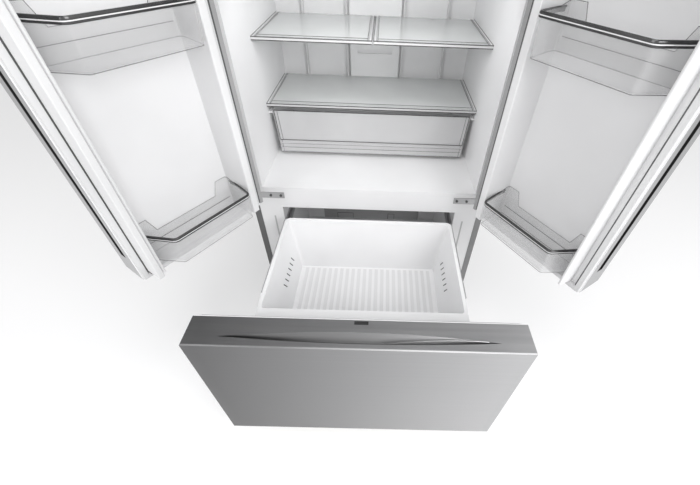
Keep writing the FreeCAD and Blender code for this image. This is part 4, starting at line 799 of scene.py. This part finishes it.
def basket_details():
    front, back = BASKET_LOW.y + BASKET_RIM, BASKET_HIGH.y - BASKET_RIM
    half = BASKET_HIGH.x - BASKET_RIM
    tall = BASKET_HIGH.z - BASKET_LOW.z
    flange = bmesh.new()
    box_into(flange, (BASKET_LOW.x + FLANGE_INSET, PAD_BACK, BASKET_HIGH.z - FLANGE_THICK),
             (BASKET_HIGH.x - FLANGE_INSET, BASKET_LOW.y + FLANGE_LAP, BASKET_HIGH.z + FLANGE_PROUD))
    piece("basket_front_flange", flange, BASKET, "freezer_drawer", soft=FLANGE_SOFT)

    inner = half - BASKET_DRAFT - BASKET_WALL - BASKET_CORNER
    pitch = 2 * inner / (RIB_COUNT - 1)
    y_from, y_to = front + BASKET_DRAFT / 2 + BASKET_CORNER, back - BASKET_DRAFT - BASKET_CORNER
    floor_top = BASKET_LOW.z + BASKET_WALL
    wide = (pitch - RIB_WIDE) * VALLEY_SHARE
    # Painted shade: darker strips in the valleys between the ribs.
    valleys = bmesh.new()
    for i in range(RIB_COUNT - 1):
        x = -inner + (i + 0.5) * pitch
        box_into(valleys, (x - wide / 2, y_from, floor_top), (x + wide / 2, y_to, floor_top + VALLEY_RISE))
    piece("basket_valleys_painted_shade", valleys, VALLEY_PAINTED_SHADE, "freezer_drawer", soft=VALLEY_SOFT)

    # Painted shade: black beads along the slots in the side walls.
    slot_shade_lines = []
    for side in (-1, 1):
        for i in range(SLOT_COUNT):
            y = (front + back) / 2 - (i - SLOT_COUNT / 2) * SLOT_PITCH + BASKET_DRAFT + SLOT_MIDDLE
            ends = []
            for share in SLOT_ENDS:
                up = SLOT_BASE * tall + share * SLOT_TALL
                wall = half - BASKET_DRAFT * (1 - up / tall) - BASKET_WALL
                ends.append((side * wall, y - share * SLOT_LEAN, BASKET_LOW.z + up))
            slot_shade_lines.append(ends)
    lines("basket_slot_painted_shade", slot_shade_lines, SLOT_BEAD, BLACK, "freezer_drawer")


basket_details()


# Middle hinges: collars over the pins

COLLAR_BASE, COLLAR_SIDES = 0.6435, 18
COLLAR_SECTION = ((0.009, 0.0), (0.009, 0.0015), (0.0075, 0.003), (0.004, 0.0036))


def hinge_collars():
    collars = bmesh.new()
    around = [2 * math.pi * i / COLLAR_SIDES for i in range(COLLAR_SIDES)]
    for side in (-1, 1):
        x, y = side * abs(HINGE["pos_m"][0]), HINGE["pos_m"][1]
        rows = loft(collars, [[(x + radius * math.cos(turn), y + radius * math.sin(turn), COLLAR_BASE + up)
                               for turn in around] for radius, up in COLLAR_SECTION])
        collars.faces.new(rows[0])
        collars.faces.new(rows[-1])
    piece("hinge_pin_collars", collars, SCREW_STEEL, "cabinet")


hinge_collars()


# Stage and lights

FLOOR_GLOW, WORLD_LIGHT = 0.2, 0.58
FLOOR_SIZE, FLOOR_DOWN = 30.0, -0.001


def seen(tree):
    """One for the rays of the camera, gloss and glass, and zero for those that light the object."""
    path = tree.nodes.new("ShaderNodeLightPath")
    found = path.outputs["Is Camera Ray"]
    for kind in ("Is Glossy Ray", "Is Transmission Ray"):
        either = tree.nodes.new("ShaderNodeMath")
        either.operation = "MAXIMUM"
        tree.links.new(found, either.inputs[0])
        tree.links.new(path.outputs[kind], either.inputs[1])
        found = either.outputs["Value"]
    return found


def stage_finish():
    """Pale floor that the camera, gloss and glass see as near white, with the object's shadow kept."""
    made, tree, shader = material("floor_finish", grey(0.8), 0.7)
    glow = tree.nodes.new("ShaderNodeEmission")
    tree.links.new(spread(tree, seen(tree), 0.0, FLOOR_GLOW), glow.inputs["Strength"])
    both = tree.nodes.new("ShaderNodeAddShader")
    tree.links.new(shader.outputs["BSDF"], both.inputs[0])
    tree.links.new(glow.outputs["Emission"], both.inputs[1])
    tree.links.new(both.outputs["Shader"], tree.nodes["Material Output"].inputs["Surface"])
    return made


def floor():
    mesh = bpy.data.meshes.new("floor")
    half = FLOOR_SIZE / 2
    corners = [(-half, -half, FLOOR_DOWN), (half, -half, FLOOR_DOWN), (half, half, FLOOR_DOWN),
               (-half, half, FLOOR_DOWN)]
    mesh.from_pydata(corners, [], [(0, 1, 2, 3)])
    obj = bpy.data.objects.new("floor", mesh)
    scene.collection.objects.link(obj)
    obj.data.materials.append(stage_finish())


floor()


def lamp(name, place, target, size, power, in_gloss=True):
    """An area lamp that the camera doesn't see, aimed from one place at another."""
    data = bpy.data.lights.new(name, "AREA")
    data.shape = "RECTANGLE"
    data.size, data.size_y = size
    data.energy = power
    obj = bpy.data.objects.new(name, data)
    obj.location = place
    obj.visible_camera = False
    obj.visible_glossy = in_gloss
    obj.rotation_euler = (Vector(target) - Vector(place)).to_track_quat("-Z", "Y").to_euler()
    scene.collection.objects.link(obj)


lamp("key", place=(2.0, -2.8, 2.6), target=(0.1, -0.2, 0.7), size=(2.4, 2.4), power=92)
lamp("fill", place=(-2.4, -2.8, 2.3), target=(-0.2, -0.1, 0.7), size=(2.4, 2.4), power=40)
lamp("over", place=(0.0, -0.9, 3.8), target=(0.0, -0.3, 0.5), size=(2.5, 1.6), power=24)
lamp("inside", place=(0.0, 0.02, 1.33), target=(0.0, 0.5, 0.85), size=(0.6, 0.3), power=1.25, in_gloss=False)


def set_world():
    """White to the eye, and softer as a light."""
    world = bpy.data.worlds.new("studio")
    scene.world = world
    world.use_nodes = True
    tree = world.node_tree
    background = tree.nodes["Background"]
    background.inputs["Color"].default_value = (1, 1, 1, 1)
    tree.links.new(spread(tree, seen(tree), WORLD_LIGHT, 1.0), background.inputs["Strength"])


set_world()
